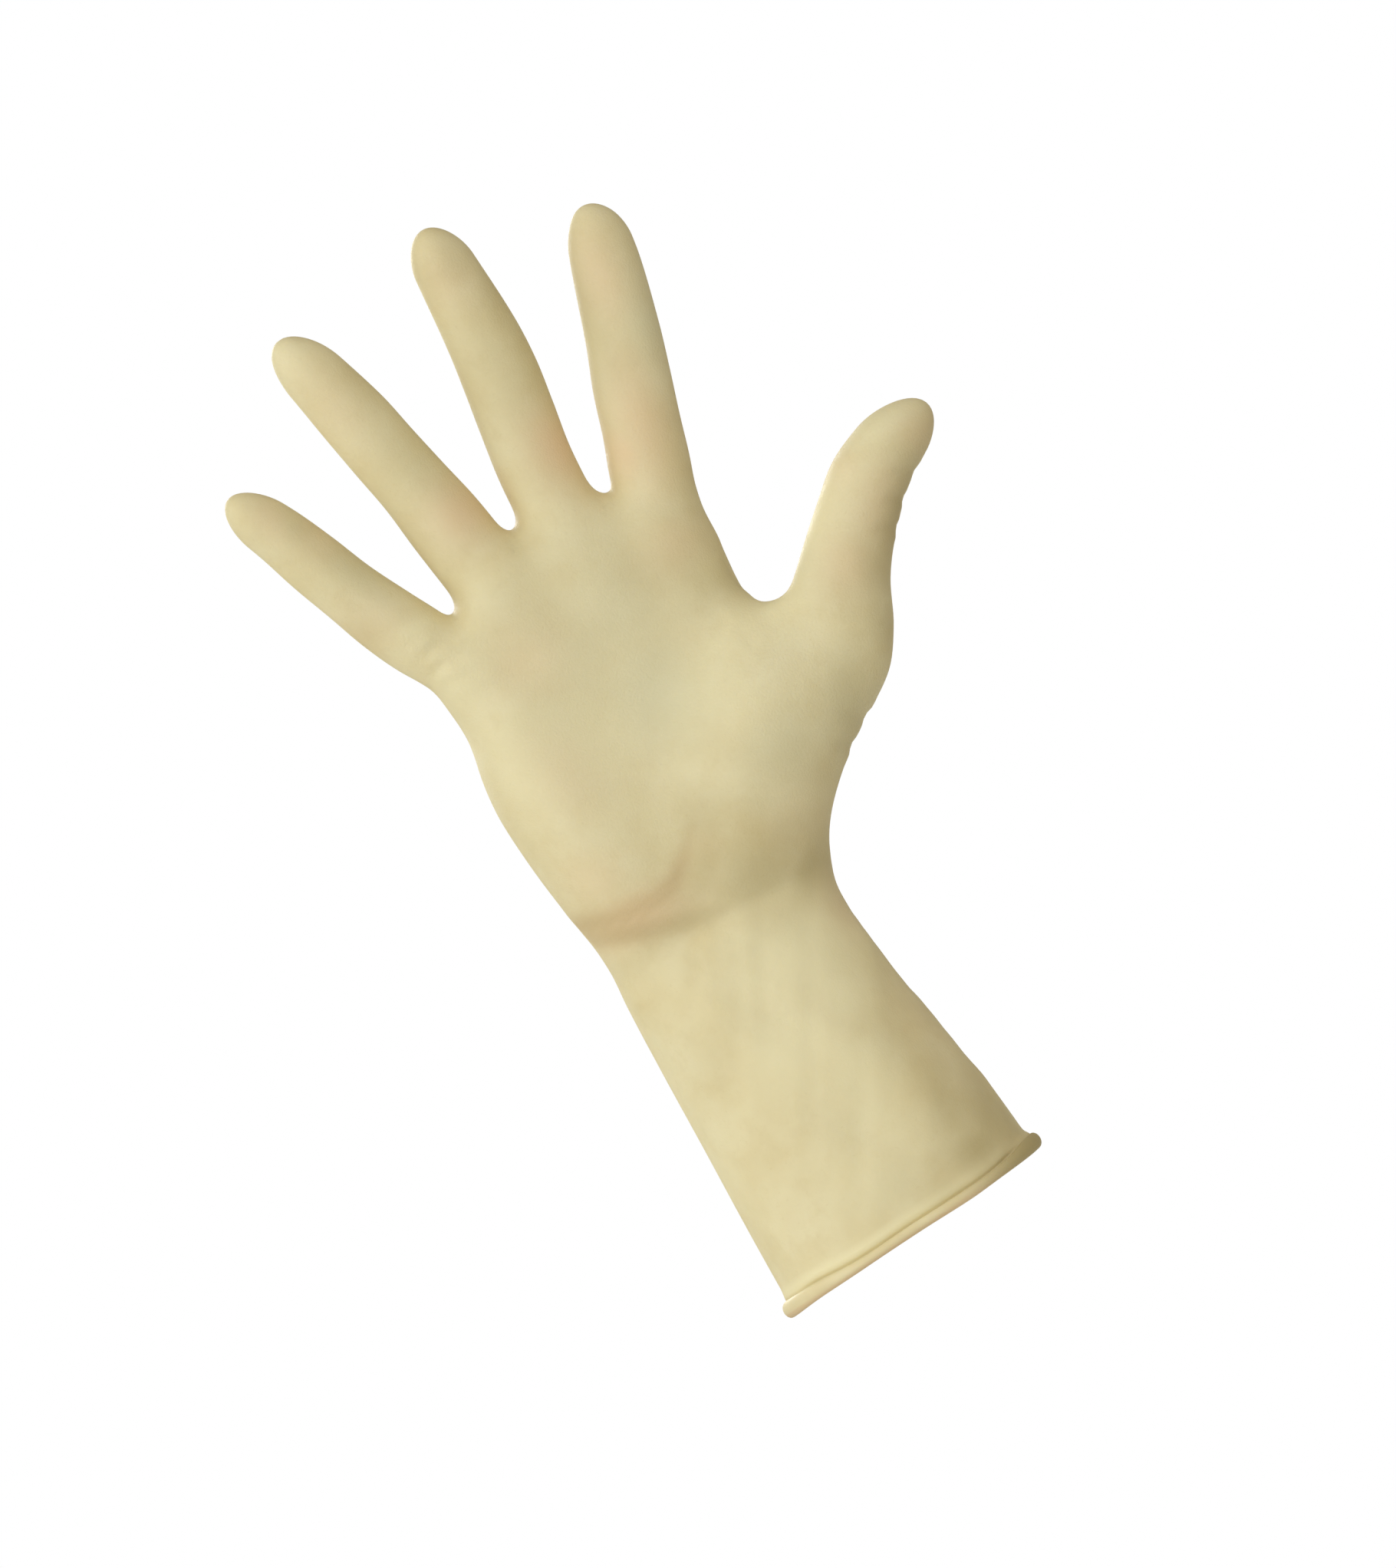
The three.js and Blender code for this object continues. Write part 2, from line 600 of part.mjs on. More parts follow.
const latex = new THREE.MeshStandardMaterial({ color: 0xddd0a0, roughness: 0.55, metalness: 0 });

const film = new THREE.Mesh(filmGeometry(), latex);
film.name = "glove_film";

const bead = new THREE.Mesh(beadGeometry(), latex);
bead.name = "cuff_bead";

const glove = new THREE.Group();
glove.add(film, bead);
export default glove;
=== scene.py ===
# %% [markdown]
# A surgeon's glove of natural rubber latex, seen as it is when worn: palm to the front, fingers
# spread, thumb out to the side, and a long cuff that ends in a rolled bead.
#
# The real glove is one dipped film, so there is hardly an edge on it to model. Its looks are all in
# three things: a smooth form that runs from digit to digit without a seam, a few soft folds at the
# wrist and the joints, and a skin whose colour changes a little from place to place, with painted
# light where it faces the light and painted shade where it lies in shade. This lesson makes them in
# that order.

# %% The frame
import math

import bpy
import numpy as np
from mathutils import Matrix, Vector


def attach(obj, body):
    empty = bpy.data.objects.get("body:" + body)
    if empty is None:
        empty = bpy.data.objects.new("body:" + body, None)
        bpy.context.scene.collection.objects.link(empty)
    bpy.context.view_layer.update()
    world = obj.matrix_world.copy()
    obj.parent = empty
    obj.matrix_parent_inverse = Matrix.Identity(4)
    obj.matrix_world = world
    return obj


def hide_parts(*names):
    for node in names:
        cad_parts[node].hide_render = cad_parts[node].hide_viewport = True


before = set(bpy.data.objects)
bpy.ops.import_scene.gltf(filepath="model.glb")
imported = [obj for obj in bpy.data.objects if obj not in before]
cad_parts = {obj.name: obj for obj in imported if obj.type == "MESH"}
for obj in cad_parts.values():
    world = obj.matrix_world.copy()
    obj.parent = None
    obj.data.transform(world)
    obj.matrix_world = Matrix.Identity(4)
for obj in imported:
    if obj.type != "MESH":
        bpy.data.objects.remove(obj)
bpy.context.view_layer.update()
MM = 0.001
print("CAD nodes:", sorted(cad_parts))

# %% [markdown]
# The camera comes first, because everything else is seen through it. The photograph looks
# squarely at the palm, and the forearm comes in from the lower right, so the camera is level with
# the hand and rolled about its line of sight. The glove stays upright in its own frame.

# %% The camera
PHOTO_ROLL = math.radians(33.7)
FRAME_HEIGHT = 408.8 * MM  # what the picture's height covers at the glove
FRAME_MIDDLE = Vector((17.2 * MM, 0, 126.7 * MM))
CAMERA_DISTANCE = 6.0
SENSOR = 36.0


def add_object(name, data):
    piece = bpy.data.objects.new(name, data)
    bpy.context.scene.collection.objects.link(piece)
    return piece


def make_camera():
    """A camera on the -Y side, whose up is turned from +Z towards +X by the photograph's roll."""
    data = bpy.data.cameras.new("camera")
    data.sensor_width = SENSOR
    data.lens = SENSOR * CAMERA_DISTANCE / FRAME_HEIGHT
    camera = add_object("camera", data)
    up = Vector((math.sin(PHOTO_ROLL), 0, math.cos(PHOTO_ROLL)))
    back = Vector((0, -1, 0))
    right = up.cross(back)
    turn = Matrix((right, up, back)).transposed().to_4x4()
    camera.matrix_world = Matrix.Translation(FRAME_MIDDLE + back * CAMERA_DISTANCE) @ turn
    bpy.context.scene.camera = camera
    return camera


print("lens: %.0f mm" % make_camera().data.lens)

# %% [markdown]
# A hand has no flat faces and no straight edges, but each part of it is simple when it is taken
# alone. The cuff, wrist and palm are a stack of rounded sections, so a short table gives each one's
# edges and depth, and a smooth curve runs through each column. The same curve serves every table
# here, so that a form is changed by changing a number in a row.

# %% Smooth curves through a table's columns
def curve(x, y):
    """A function of x: cubic pieces that pass through the values y.

    Each value's slope is the rise between its two neighbours over their distance. Outside the
    table the curve keeps its end value.
    """
    before = np.maximum(np.arange(len(x)) - 1, 0)
    after = np.minimum(np.arange(len(x)) + 1, len(x) - 1)
    slope = (y[after] - y[before]) / (x[after] - x[before])

    def at(value):
        s = np.clip(value, x[0], x[-1])
        i = np.clip(np.searchsorted(x, s) - 1, 0, len(x) - 2)
        wide = x[i + 1] - x[i]
        t = (s - x[i]) / wide
        rise = smooth(t)
        bend = wide * t * (1 - t) * (slope[i] * (1 - t) - slope[i + 1] * t)
        return y[i] * (1 - rise) + y[i + 1] * rise + bend

    return at


def smooth(t):
    """0 to 1 with no slope at either end: 3 t^2 - 2 t^3, with t held between 0 and 1."""
    t = np.clip(t, 0, 1)
    return t * t * (3 - 2 * t)


def mix(a, b, t):
    return a + (b - a) * t


def vectors(*parts):
    """Arrays of x, y and z as one array, whose last axis is x, y, z."""
    return np.stack(parts, axis=-1)


def ramp(value, zero, one):
    """0 at one value and 1 at the other, smooth between them."""
    return smooth((value - zero) / (one - zero))


def curves(columns, rows):
    """A curve for each column of a table but the first, which holds what the others are read at."""
    key, *values = np.array(rows, float).T
    return {name: curve(key, y) for name, y in zip(columns.split()[1:], values)}


# %% The cuff, the wrist and the palm, in mm: up, left, right, front, back, squareness
SECTIONS = [
    (-10, -38.6, 38.2, 31.5, 31.5, 2.4), (4, -38.0, 37.6, 31, 31, 2.4),
    (22, -36.6, 36.8, 29.5, 29.5, 2.4), (46, -34.4, 34.2, 27, 27.5, 2.4),
    (70, -32.3, 32.4, 24.5, 25, 2.4), (88, -30.5, 31.8, 22, 23, 2.4),
    (98, -29.1, 32.5, 20.5, 21.5, 2.45), (108, -28.7, 37, 22, 20.5, 2.4),
    (120, -28.8, 43, 22.5, 19.5, 2.5), (136, -28.8, 49, 19.5, 18.5, 2.6),
    (150, -28.8, 52.5, 16.5, 17.5, 2.6), (165, -26.3, 54, 14.5, 16.5, 2.6),
    (180, -21.5, 50.8, 13.5, 15, 2.6), (205, -16, 52, 11, 11.5, 2.4),
]
PALM_TOP = [(-34, 168), (-11, 187), (14, 194.5), (38, 191), (60, 172)]
PALM_TOP_ROUND = 10  # how far the palm's end is rounded over
WEB_SLOPE = 0.3  # a web stands lower on the back of the hand than on the palm's side

section = curves("up left right front back square", SECTIONS)
palm_top = curves("across up", PALM_TOP)["up"]
print("cuff's width at its edge: %.1f mm" % (section["right"](0) - section["left"](0)))

# %% [markdown]
# A digit is a rounded rod that bends a little and swells at its joints. It gets a straight axis
# from base to tip in the plane of the palm, and a row for each station along that axis: how far the
# digit's middle is shifted to the right of the axis, its half width, how far it bends back or
# forward, and its half depth. A finger that is relaxed in a glove bends forward, towards the palm.

# %% The five digits, in mm, with a row for each station
DIGIT_COLUMNS = "along shift half bend deep"
DIGITS = {
    "little": {"base": (-18, 185), "tip": (-42.6, 256.5), "round": 12, "rows": [
        (-25, 5, 7.5, 1, 11), (0, 1.3, 8.2, 0, 10.5), (12, 0, 9.4, -0.5, 9.8),
        (24, -0.8, 9.2, -1.5, 9.2), (36, -0.9, 8.5, -3, 8.4), (48, -0.6, 8.3, -5, 8.2),
        (60, -0.3, 7.6, -7.5, 7.4), (75.5, -1, 6.5, -10.5, 6.2),
    ]},
    "ring": {"base": (0.5, 190), "tip": (-8.6, 283.3), "round": 13.5, "rows": [
        (-25, 1, 9.5, 2, 12), (0, 1.6, 10.2, 1.5, 11.5), (18, 2.3, 10.5, 0.5, 10.6),
        (30, 2.5, 10.4, -1, 10), (42, 2.4, 9.7, -2.5, 9.3), (54, 1.9, 9.5, -4.5, 9.2),
        (66, 1.5, 9.3, -7, 8.6), (84, 0.1, 8.1, -11, 7.4), (93.7, -1.2, 7.8, -13, 6.6),
    ]},
    "middle": {"base": (27, 190), "tip": (37.5, 286.4), "round": 11.3, "rows": [
        (-25, -2, 9.8, 2.5, 12.4), (0, -2.4, 10.2, 2, 12), (18, -2.4, 10.3, 1, 11),
        (30, -2.1, 10.3, -0.5, 10.3), (42, -0.8, 10.4, -2, 9.7), (54, 0.5, 10.3, -4, 9.5),
        (66, 1.1, 9.7, -6.5, 9), (84, 0.7, 8.4, -10.5, 7.8), (97.3, 0.2, 7.3, -13, 6.9),
    ]},
    "index": {"base": (51, 183), "tip": (75.1, 268.8), "round": 11.3, "rows": [
        (-25, -4, 7.5, 2, 12), (0, -4.8, 9.3, 1, 11.5), (18, -3.8, 10.8, 0, 10.8),
        (30, -2.5, 10.5, -1.5, 10.1), (42, -1.3, 10.5, -3, 9.5), (54, 0.2, 10, -5, 9.3),
        (72, 1.6, 9.2, -8, 8.2), (84, 2, 8, -10, 7.4), (89.1, 1.6, 7.8, -11, 7),
    ]},
    "thumb": {"base": (66, 134), "tip": (121.2, 177.4), "round": 13, "rows": [
        (-48, -5, 13, -6, 13), (-32, -4.6, 13.4, -8.5, 14), (-18, -3.6, 14.3, -10.5, 14.5),
        (0, -1.4, 15, -13, 13), (12, -2.7, 13.9, -14.5, 12), (24, -5.6, 12, -15.5, 11.2),
        (36, -6.8, 10.9, -16.5, 10.8), (48, -6.9, 10.3, -17, 11), (60, -3.9, 9.4, -17, 10.2),
        (70.2, -0.6, 8.4, -16.5, 9),
    ]},
}
FINGERS = ("little", "ring", "middle", "index")


def measure_digit(digit):
    """Adds the digit's length, the direction of its axis, and a curve for each column."""
    run = np.subtract(digit["tip"], digit["base"])
    length = float(np.hypot(*run))
    return {**digit, "length": length, "axis": run / length, **curves(DIGIT_COLUMNS, digit["rows"])}


digits = {name: measure_digit(digit) for name, digit in DIGITS.items()}
for name, digit in digits.items():
    print("%s: %.0f mm from base to tip" % (name, digit["length"]))

# %% [markdown]
# Between these parts lie soft mounds: the ball of the thumb, the pad on the little finger's side,
# and the knuckles on the back. Each is an ellipsoid that is mostly sunk in the hand.

# %% The mounds, in mm: place, half sizes, and lean in degrees
MOUNDS = {
    "thumb_ball": ((39, -12, 132), (15, 15, 24), 40),
    "little_side": ((-15, -9, 134), (12, 13, 30), -4),
    "little_knuckle": ((-14, 6, 178), (7, 8, 10), 0),
    "ring_knuckle": ((4, 8.5, 187), (9, 8.5, 11), 0),
    "middle_knuckle": ((27, 9, 188), (9.5, 9, 12), 0),
    "index_knuckle": ((45, 7.5, 181), (8, 8.5, 11), 0),
}
BLEND = {"fingers": 5, "palm": 10, "thumb": 21, "mounds": 14}

# %% [markdown]
# How do a palm, five digits and six mounds become one skin? Joining meshes would leave a crease at
# every joint. Instead each part is a distance: a number that is negative inside it, zero on it and
# positive outside. The smaller of two distances is both parts together, and where the two numbers
# are close, the smaller is rounded down a little, which fills the corner between them as a film
# does. The glove is where the final distance is zero.

# %% The distance function
TINY = 1e-6  # keeps the powers away from 0


def outside(x, y, z, a, b, c, square):
    """About how far a point is outside a rounded form.

    x, y and z are shares of the half sizes a, b and c. Their sum of powers is 1 on the form; it is
    turned into a distance by dividing by its steepness there.
    """
    px = np.abs(x) + TINY
    py = np.abs(y) + TINY
    flat = (px**square + py**square) ** (1 / square)
    size = np.hypot(flat, z)
    across = flat / size * (px / flat) ** (square - 1) / a
    through = flat / size * (py / flat) ** (square - 1) / b
    return (size - 1) / np.sqrt(across**2 + through**2 + (z / size / c) ** 2)


def blend(a, b, width):
    """The smaller of two distances, less h^2 width / 4, where h falls from 1 to 0 as they part."""
    h = np.maximum(width - np.abs(a - b), 0) / width
    return np.minimum(a, b) - h * h * width / 4


def palm_distance(x, y, z):
    left = section["left"](z)
    right = section["right"](z)
    a = (right - left) / 2
    b = np.where(y < 0, section["front"](z), section["back"](z))
    over = np.maximum(0, z + WEB_SLOPE * y - palm_top(x)) / PALM_TOP_ROUND
    return outside((x - (left + right) / 2) / a, y / b, over, a, b, PALM_TOP_ROUND, section["square"](z))


def in_digit(digit, x, z):
    """How far along a digit's axis a point lies, and how far to the right of it."""
    dx = x - digit["base"][0]
    dz = z - digit["base"][1]
    ax, az = digit["axis"]
    return dx * ax + dz * az, dx * az - dz * ax


def digit_distance(digit, x, y, z):
    along, right = in_digit(digit, x, z)
    a = digit["half"](along)
    b = digit["deep"](along)
    over = np.maximum(0, along - digit["length"] + digit["round"])
    under = np.maximum(0, digit["rows"][0][0] - along)
    u = (right - digit["shift"](along)) / a
    v = (y - digit["bend"](along)) / b
    return outside(u, v, (over + under) / digit["round"], a, b, digit["round"], 2)


def upright(dx, dz, lean):
    """A place in the plane of the palm, turned back by a lean in degrees."""
    turn = math.radians(lean)
    return dx * math.cos(turn) - dz * math.sin(turn), dx * math.sin(turn) + dz * math.cos(turn)


def mound_distance(mound, x, y, z):
    at, (a, b, c), lean = mound
    u, w = upright(x - at[0], z - at[2], lean)
    return outside(u / a, (y - at[1]) / b, w / c, a, b, c, 2)


def distance(points):
    """The glove's distance for an array of points, whose last axis is x, y, z in mm."""
    x, y, z = points[..., 0], points[..., 1], points[..., 2]
    fingers = digit_distance(digits["little"], x, y, z)
    for name in FINGERS[1:]:
        fingers = blend(fingers, digit_distance(digits[name], x, y, z), BLEND["fingers"])
    whole = blend(palm_distance(x, y, z), fingers, BLEND["palm"])
    whole = blend(whole, digit_distance(digits["thumb"], x, y, z), BLEND["thumb"])
    for mound in MOUNDS.values():
        whole = blend(whole, mound_distance(mound, x, y, z), BLEND["mounds"])
    return whole


print("middle of the palm: %.1f mm" % distance(np.array([10.0, 0.0, 160.0])))

# %% [markdown]
# A distance is not yet a mesh. The mesh is a net of quads that follows the hand: rows round the
# cuff and palm, and rings round each digit. A spoke goes from a point inside straight out to the
# surface. Settling moves a point that is nearly on the surface down its slope until it is. Easing
# moves each vertex towards its neighbours' middle and settles it again, which spreads the net
# evenly. Where the net lies over itself, it first goes slack and flat, like a soap film.

# %% Spokes, settling and easing, in mm
STEP = 0.05  # to either side, for the slope
LONGEST_MOVE = 3  # of one pass of settling
HALVINGS = 16


def gradient(points):
    """The distance's slope: its change over a small step to either side, along each axis."""
    steps = STEP * np.eye(3)
    sides = [distance(points + step) - distance(points - step) for step in steps]
    return vectors(*sides) / (2 * STEP)


def settle(points, passes=4):
    """Newton's way to the zero level: each pass moves by distance / slope^2 along the slope."""
    for _ in range(passes):
        slope = gradient(points)
        share = distance(points) / (slope**2).sum(-1)
        points = points - np.clip(share[..., None] * slope, -LONGEST_MOVE, LONGEST_MOVE)
    return points


def spoke(start, direction, longest=90, march=1.5):
    """The first point of the surface from start along direction: a march, then halving."""
    near = np.zeros(direction.shape[:-1])
    far = np.full(near.shape, float(longest))
    found = np.zeros(near.shape, bool)
    for reach in np.arange(march, longest, march):
        out = ~found & (distance(start + direction * reach) > 0)
        near = np.where(out, reach - march, near)
        far = np.where(out, reach, far)
        found |= out
        if found.all():
            break
    for _ in range(HALVINGS):
        middle = (near + far) / 2
        inside = distance(start + direction * middle[..., None]) < 0
        near = np.where(inside, middle, near)
        far = np.where(inside, far, middle)
    return start + direction * far[..., None]


def neighbour_means(quads, total):
    """A function of the points' values that gives the mean over each point's neighbours."""
    edges = np.concatenate([quads[:, [k, (k + 1) % 4]] for k in range(4)])
    edges = edges[edges[:, 0] != edges[:, 1]]
    edges = np.unique(np.sort(edges, axis=1), axis=0)
    ends = np.concatenate([edges, edges[:, ::-1]])
    ends = ends[np.argsort(ends[:, 0], kind="stable")]
    first = np.searchsorted(ends[:, 0], np.arange(total))
    count = np.diff(np.append(first, len(ends)))
    return lambda values: np.add.reduceat(values[ends[:, 1]], first) / count[:, None]


def turned(points, quads):
    """Whether each quad faces inwards: its diagonals' cross product goes against the slope."""
    a, b, c, d = (points[quads[:, k]] for k in range(4))
    across = np.cross(c - a, d - b)
    return (across * gradient((a + b + c + d) / 4)).sum(axis=1) < 0


def open_folds(points, quads, mean):
    """Points round turned quads go to their neighbours' mean many times, then to the surface."""
    for _ in range(FOLD_ROUNDS):
        slack = np.zeros((len(points), 1))
        slack[quads[turned(points, quads)]] = 1
        for _ in range(FOLD_RINGS):
            slack = (mean(slack) > 0).astype(float)
        for _ in range(FOLD_PASSES):
            points = points + slack * (mean(points) - points)
        loose = slack[:, 0] > 0
        points[loose] = settle(points[loose], passes=10)
    return points


def ease(points, mean, fixed, passes):
    """Each vertex goes half way to the mean of its neighbours, and then back to the surface."""
    for _ in range(passes):
        moved = settle(mix(points, mean(points), 0.5), passes=1)
        moved[fixed] = points[fixed]
        points = moved
    return settle(points)


# %% [markdown]
# The body of the net is one grid. Its columns go round the glove: across the palm from the little
# finger's side to the thumb's, round the side, across the back and round again. Each column goes
# up along one of five rays, which end at the sides of the four fingers, so that the net arrives at
# the webs with its columns in the right places. A hole is left where the thumb grows out.

# %% The bead's upper and lower edge round the cuff, in mm
BEAD_ROUND = [
    (0, 2.8, -1.3), (22, 2.6, -1.6), (34, 1.6, -1.8), (46, 0.8, -2.0), (60, 0.6, -2.2), (90, 0.9, -1.8),
    (120, 0.9, -1.9), (142, 2.0, -2.0), (165, 2.0, -2.6), (180, 1.5, -2.8), (225, 1.3, -2.4),
    (270, 1.2, -2.2), (320, 1.8, -2.0), (360, 2.8, -1.3),
]
bead_line = curves("turn top bottom", BEAD_ROUND)


def turn_of(points):
    """The angle round the cuff in degrees, from the thumb's side over the palm's."""
    return np.degrees(np.arctan2(-points[..., 1], points[..., 0])) % 360


print("bead's height in front: %.1f mm" % (bead_line["top"](90.0) - bead_line["bottom"](90.0)))

# %% [markdown]
# The grid's lowest rows don't lie level. They follow the bead's upper edge and are crowded there,
# because the film has a fine groove along it and a low lip over the groove, which wide quads
# couldn't show.

# %% The body's grid
QUALITY = 2  # how fine the net is
COLUMNS = 7 * QUALITY  # quads across a finger
SIDE = 6 * QUALITY  # quads over a web, or round a side
CUFF_ROWS = 34 * QUALITY
CUFF_CROWDING = 0.35  # how much closer the cuff's rows come at the wrist
THUMB_ROWS = 16 * QUALITY
TOP_ROWS = 9 * QUALITY
ROOT_COLUMNS = 3 * QUALITY
FILM_EDGE = -0.6  # height of the film's lower edge, behind the bead
EDGE_ROWS = [-0.3, 0.0, 0.2, 0.4, 0.7, 1.1, 1.6, 2.2, 3.0, 4.2]  # heights above the bead
THUMB_LOW = 97  # the thumb's lower edge leaves the wrist here
EDGE_TURN = math.radians(50)  # how far the outermost spokes turn outwards
WEB_START = np.array([40.0, 0.0, 138.0])  # a ray from here goes out through the thumb's web
WEB_END = np.array([58.0, 0.0, 155.0])
RAYS = [
    (0, -22, -21, 150, 184, 180), (1, -11, -10.5, 160, 192, 187), (2, 0, 13.8, 165, 201, 195),
    (3, 11, 38.5, 162, 196, 190), (4, 22, 47, 157, 183, 180),
]
rays = curves("ray cuff base thumb_top base_front base_back", RAYS)
FRONT = COLUMNS * (len(RAYS) - 1)
AROUND = 2 * FRONT + 2 * SIDE
CREST = CUFF_ROWS + THUMB_ROWS  # the row of the thumb's web
ROWS = CREST + TOP_ROWS


def body_points(edge_turn):
    """The grid's points: row i, column j. A column is a ray, and a turn from front to back.

    edge_turn is each column's angle round the cuff, by which the lowest rows follow the bead.
    """
    j = np.arange(AROUND)
    ray = np.interp(j, [0, FRONT, FRONT + SIDE, 2 * FRONT + SIDE], [0, 4, 4, 0])
    turn = np.interp(j, [FRONT, FRONT + SIDE, 2 * FRONT + SIDE, AROUND], [0, 1, 1, 0])
    base = mix(rays["base_front"](ray), rays["base_back"](ray), turn)
    thumb_top = rays["thumb_top"](ray)
    i = np.arange(ROWS + 1)[:, None]
    climb = np.clip((i - len(EDGE_ROWS)) / (CUFF_ROWS - len(EDGE_ROWS)), 0, 1)
    climb = climb + CUFF_CROWDING * climb * (1 - climb)
    above_bead = np.interp(i, np.arange(1, len(EDGE_ROWS) + 1), EDGE_ROWS)
    cuff = mix(bead_line["top"](edge_turn) + above_bead, THUMB_LOW, climb)
    cuff = np.where(i == 0, FILM_EDGE, cuff)
    root = mix(THUMB_LOW, thumb_top, (i - CUFF_ROWS) / THUMB_ROWS)
    top = mix(thumb_top, base, (i - CREST) / TOP_ROWS)
    z = np.where(i <= CUFF_ROWS, cuff, np.where(i <= CREST, root, top))
    x = mix(rays["cuff"](ray), rays["base"](ray), smooth((z - THUMB_LOW) / (base - THUMB_LOW)))
    side = ray / 2 - 1
    edge = np.sign(side) * np.abs(side) ** 3 * EDGE_TURN
    round_side = np.sign(side) * mix(EDGE_TURN, math.pi - EDGE_TURN, turn)
    angle = np.where((turn > 0) & (turn < 1), round_side, np.where(turn == 1, math.pi - edge, edge))
    start = vectors(x, 0 * x, z)
    direction = vectors(np.sin(angle), -np.cos(angle), 0 * angle)
    direction = np.broadcast_to(direction, start.shape).copy()
    web = slice(FRONT + 1, FRONT + SIDE)
    out = (WEB_END - WEB_START) / np.linalg.norm(WEB_END - WEB_START)
    tilt = mix(-math.pi / 2, math.pi / 2, turn[web])[:, None]
    start[CREST, web] = WEB_START
    direction[CREST, web] = np.cos(tilt) * out + np.sin(tilt) * np.array([0, 1, 0])
    return spoke(start, direction)


def grid_quads(ids, closed):
    """The quads between each row of vertex numbers and the next."""
    right = np.roll(ids, -1, axis=1) if closed else ids[:, 1:]
    left = ids if closed else ids[:, :-1]
    corners = [left[:-1], right[:-1], right[1:], left[1:]]
    return np.stack([c.reshape(-1) for c in corners], axis=1)


grid = body_points(edge_turn=np.full(AROUND, 90.0))
grid = body_points(edge_turn=turn_of(grid[0]))
points = grid.reshape(-1, 3)
body = np.arange(len(points)).reshape(ROWS + 1, AROUND)
root_first = FRONT - ROOT_COLUMNS
root_last = FRONT + SIDE + ROOT_COLUMNS
in_root = np.zeros((ROWS, AROUND), bool)
in_root[CUFF_ROWS:CREST, root_first:root_last] = True
quads = [grid_quads(body, closed=True)[~in_root.reshape(-1)]]
print("body grid: %d rows of %d points" % body.shape)

# %% [markdown]
# A digit's net is a second kind of grid: rings along its axis. The first ring is made of vertices
# that the body already has, with new ones over each web, so digit and palm share them and there is
# nothing to weld. From there each ring turns, over the first few, from the body's spacing into an
# even one, and the last rings shrink to a pole at the tip.

# %% Growing a digit
DIGIT_ROWS = 32 * QUALITY
CAP_ROWS = 7 * QUALITY
CAP_SHORT = 0.6  # rows by which the last ring stays off the pole
ENDS_CROWDING = 0.25  # how much closer the rings come at a digit's ends
POLE_SPOKE = 2  # mm below the tip, where the pole's spoke starts


def even_angles(counts):
    """Angles round a digit for four runs of vertices: front, right, back and left."""
    runs = [math.pi / 2 * (run - 1.5 + np.arange(count) / count) for run, count in enumerate(counts)]
    return np.concatenate(runs)


def place(digit, along, right, y):
    """A point from its place along a digit's axis, to the right of it, and in depth."""
    ax, az = digit["axis"]
    bx, bz = digit["base"]
    return vectors(*np.broadcast_arrays(bx + along * ax + right * az, y, bz + along * az - right * ax))


def grow_digit(digit, ring, angles, fan):
    """Adds a digit's rings to the points, and its quads. fan is the share of rings that turn."""
    global points
    ax, az = digit["axis"]
    base = points[ring]
    start = in_digit(digit, base[:, 0], base[:, 2])[0]
    i = np.arange(1, DIGIT_ROWS + CAP_ROWS + 1)[:, None]
    up = np.minimum(1, i / DIGIT_ROWS)
    up = ENDS_CROWDING * smooth(up) + (1 - ENDS_CROWDING) * up
    cap = np.maximum(0, i - DIGIT_ROWS) / (CAP_ROWS + CAP_SHORT)
    straight = mix(start, digit["length"] - digit["round"], up)
    along = straight + digit["round"] * np.sin(cap * math.pi / 2)
    centre = place(digit, along, digit["shift"](along), digit["bend"](along))
    u, v = np.cos(angles), np.sin(angles)
    direction = np.broadcast_to(vectors(u * az, v, -u * ax), centre.shape)
    even = spoke(centre, direction, longest=40)
    climb = (along - start)[..., None]
    plain = base + climb * np.array([ax, 0, az])
    share = smooth(i / (DIGIT_ROWS * fan))[..., None]
    rings = settle(mix(plain, even, share), passes=10)
    inside = digit["length"] - POLE_SPOKE
    centre = place(digit, inside, digit["shift"](inside), digit["bend"](inside))
    pole = spoke(centre, np.array([ax, 0, az]), longest=20)
    ids = len(points) + np.arange(rings.shape[0] * len(ring)).reshape(rings.shape[:2])
    points = np.concatenate([points, rings.reshape(-1, 3), pole[None]])
    ids = np.concatenate([ring[None], ids])
    quads.append(grid_quads(ids, closed=True))
    last = ids[-1]
    tip = np.full(len(last), len(points) - 1)
    quads.append(np.stack([last, np.roll(last, -1), tip, tip], axis=1))


# %% The webs and the fingers
top = body[ROWS]


def back_column(ray):
    return (2 * FRONT + SIDE - ray * COLUMNS) % AROUND


def web_line(ray):
    """The vertices over a web, from the palm's side to the back: spokes that fan from below it."""
    global points
    t = np.arange(1, SIDE) / SIDE
    angle = mix(-math.pi / 2, math.pi / 2, t)
    z = mix(rays["base_front"](ray), rays["base_back"](ray), t)
    start = vectors(0 * t + rays["base"](ray), 0 * t, z)
    direction = vectors(0 * angle, np.sin(angle), np.cos(angle))
    ids = len(points) + np.arange(SIDE - 1)
    points = np.concatenate([points, spoke(start, direction)])
    return np.concatenate([[top[ray * COLUMNS]], ids, [top[back_column(ray)]]])


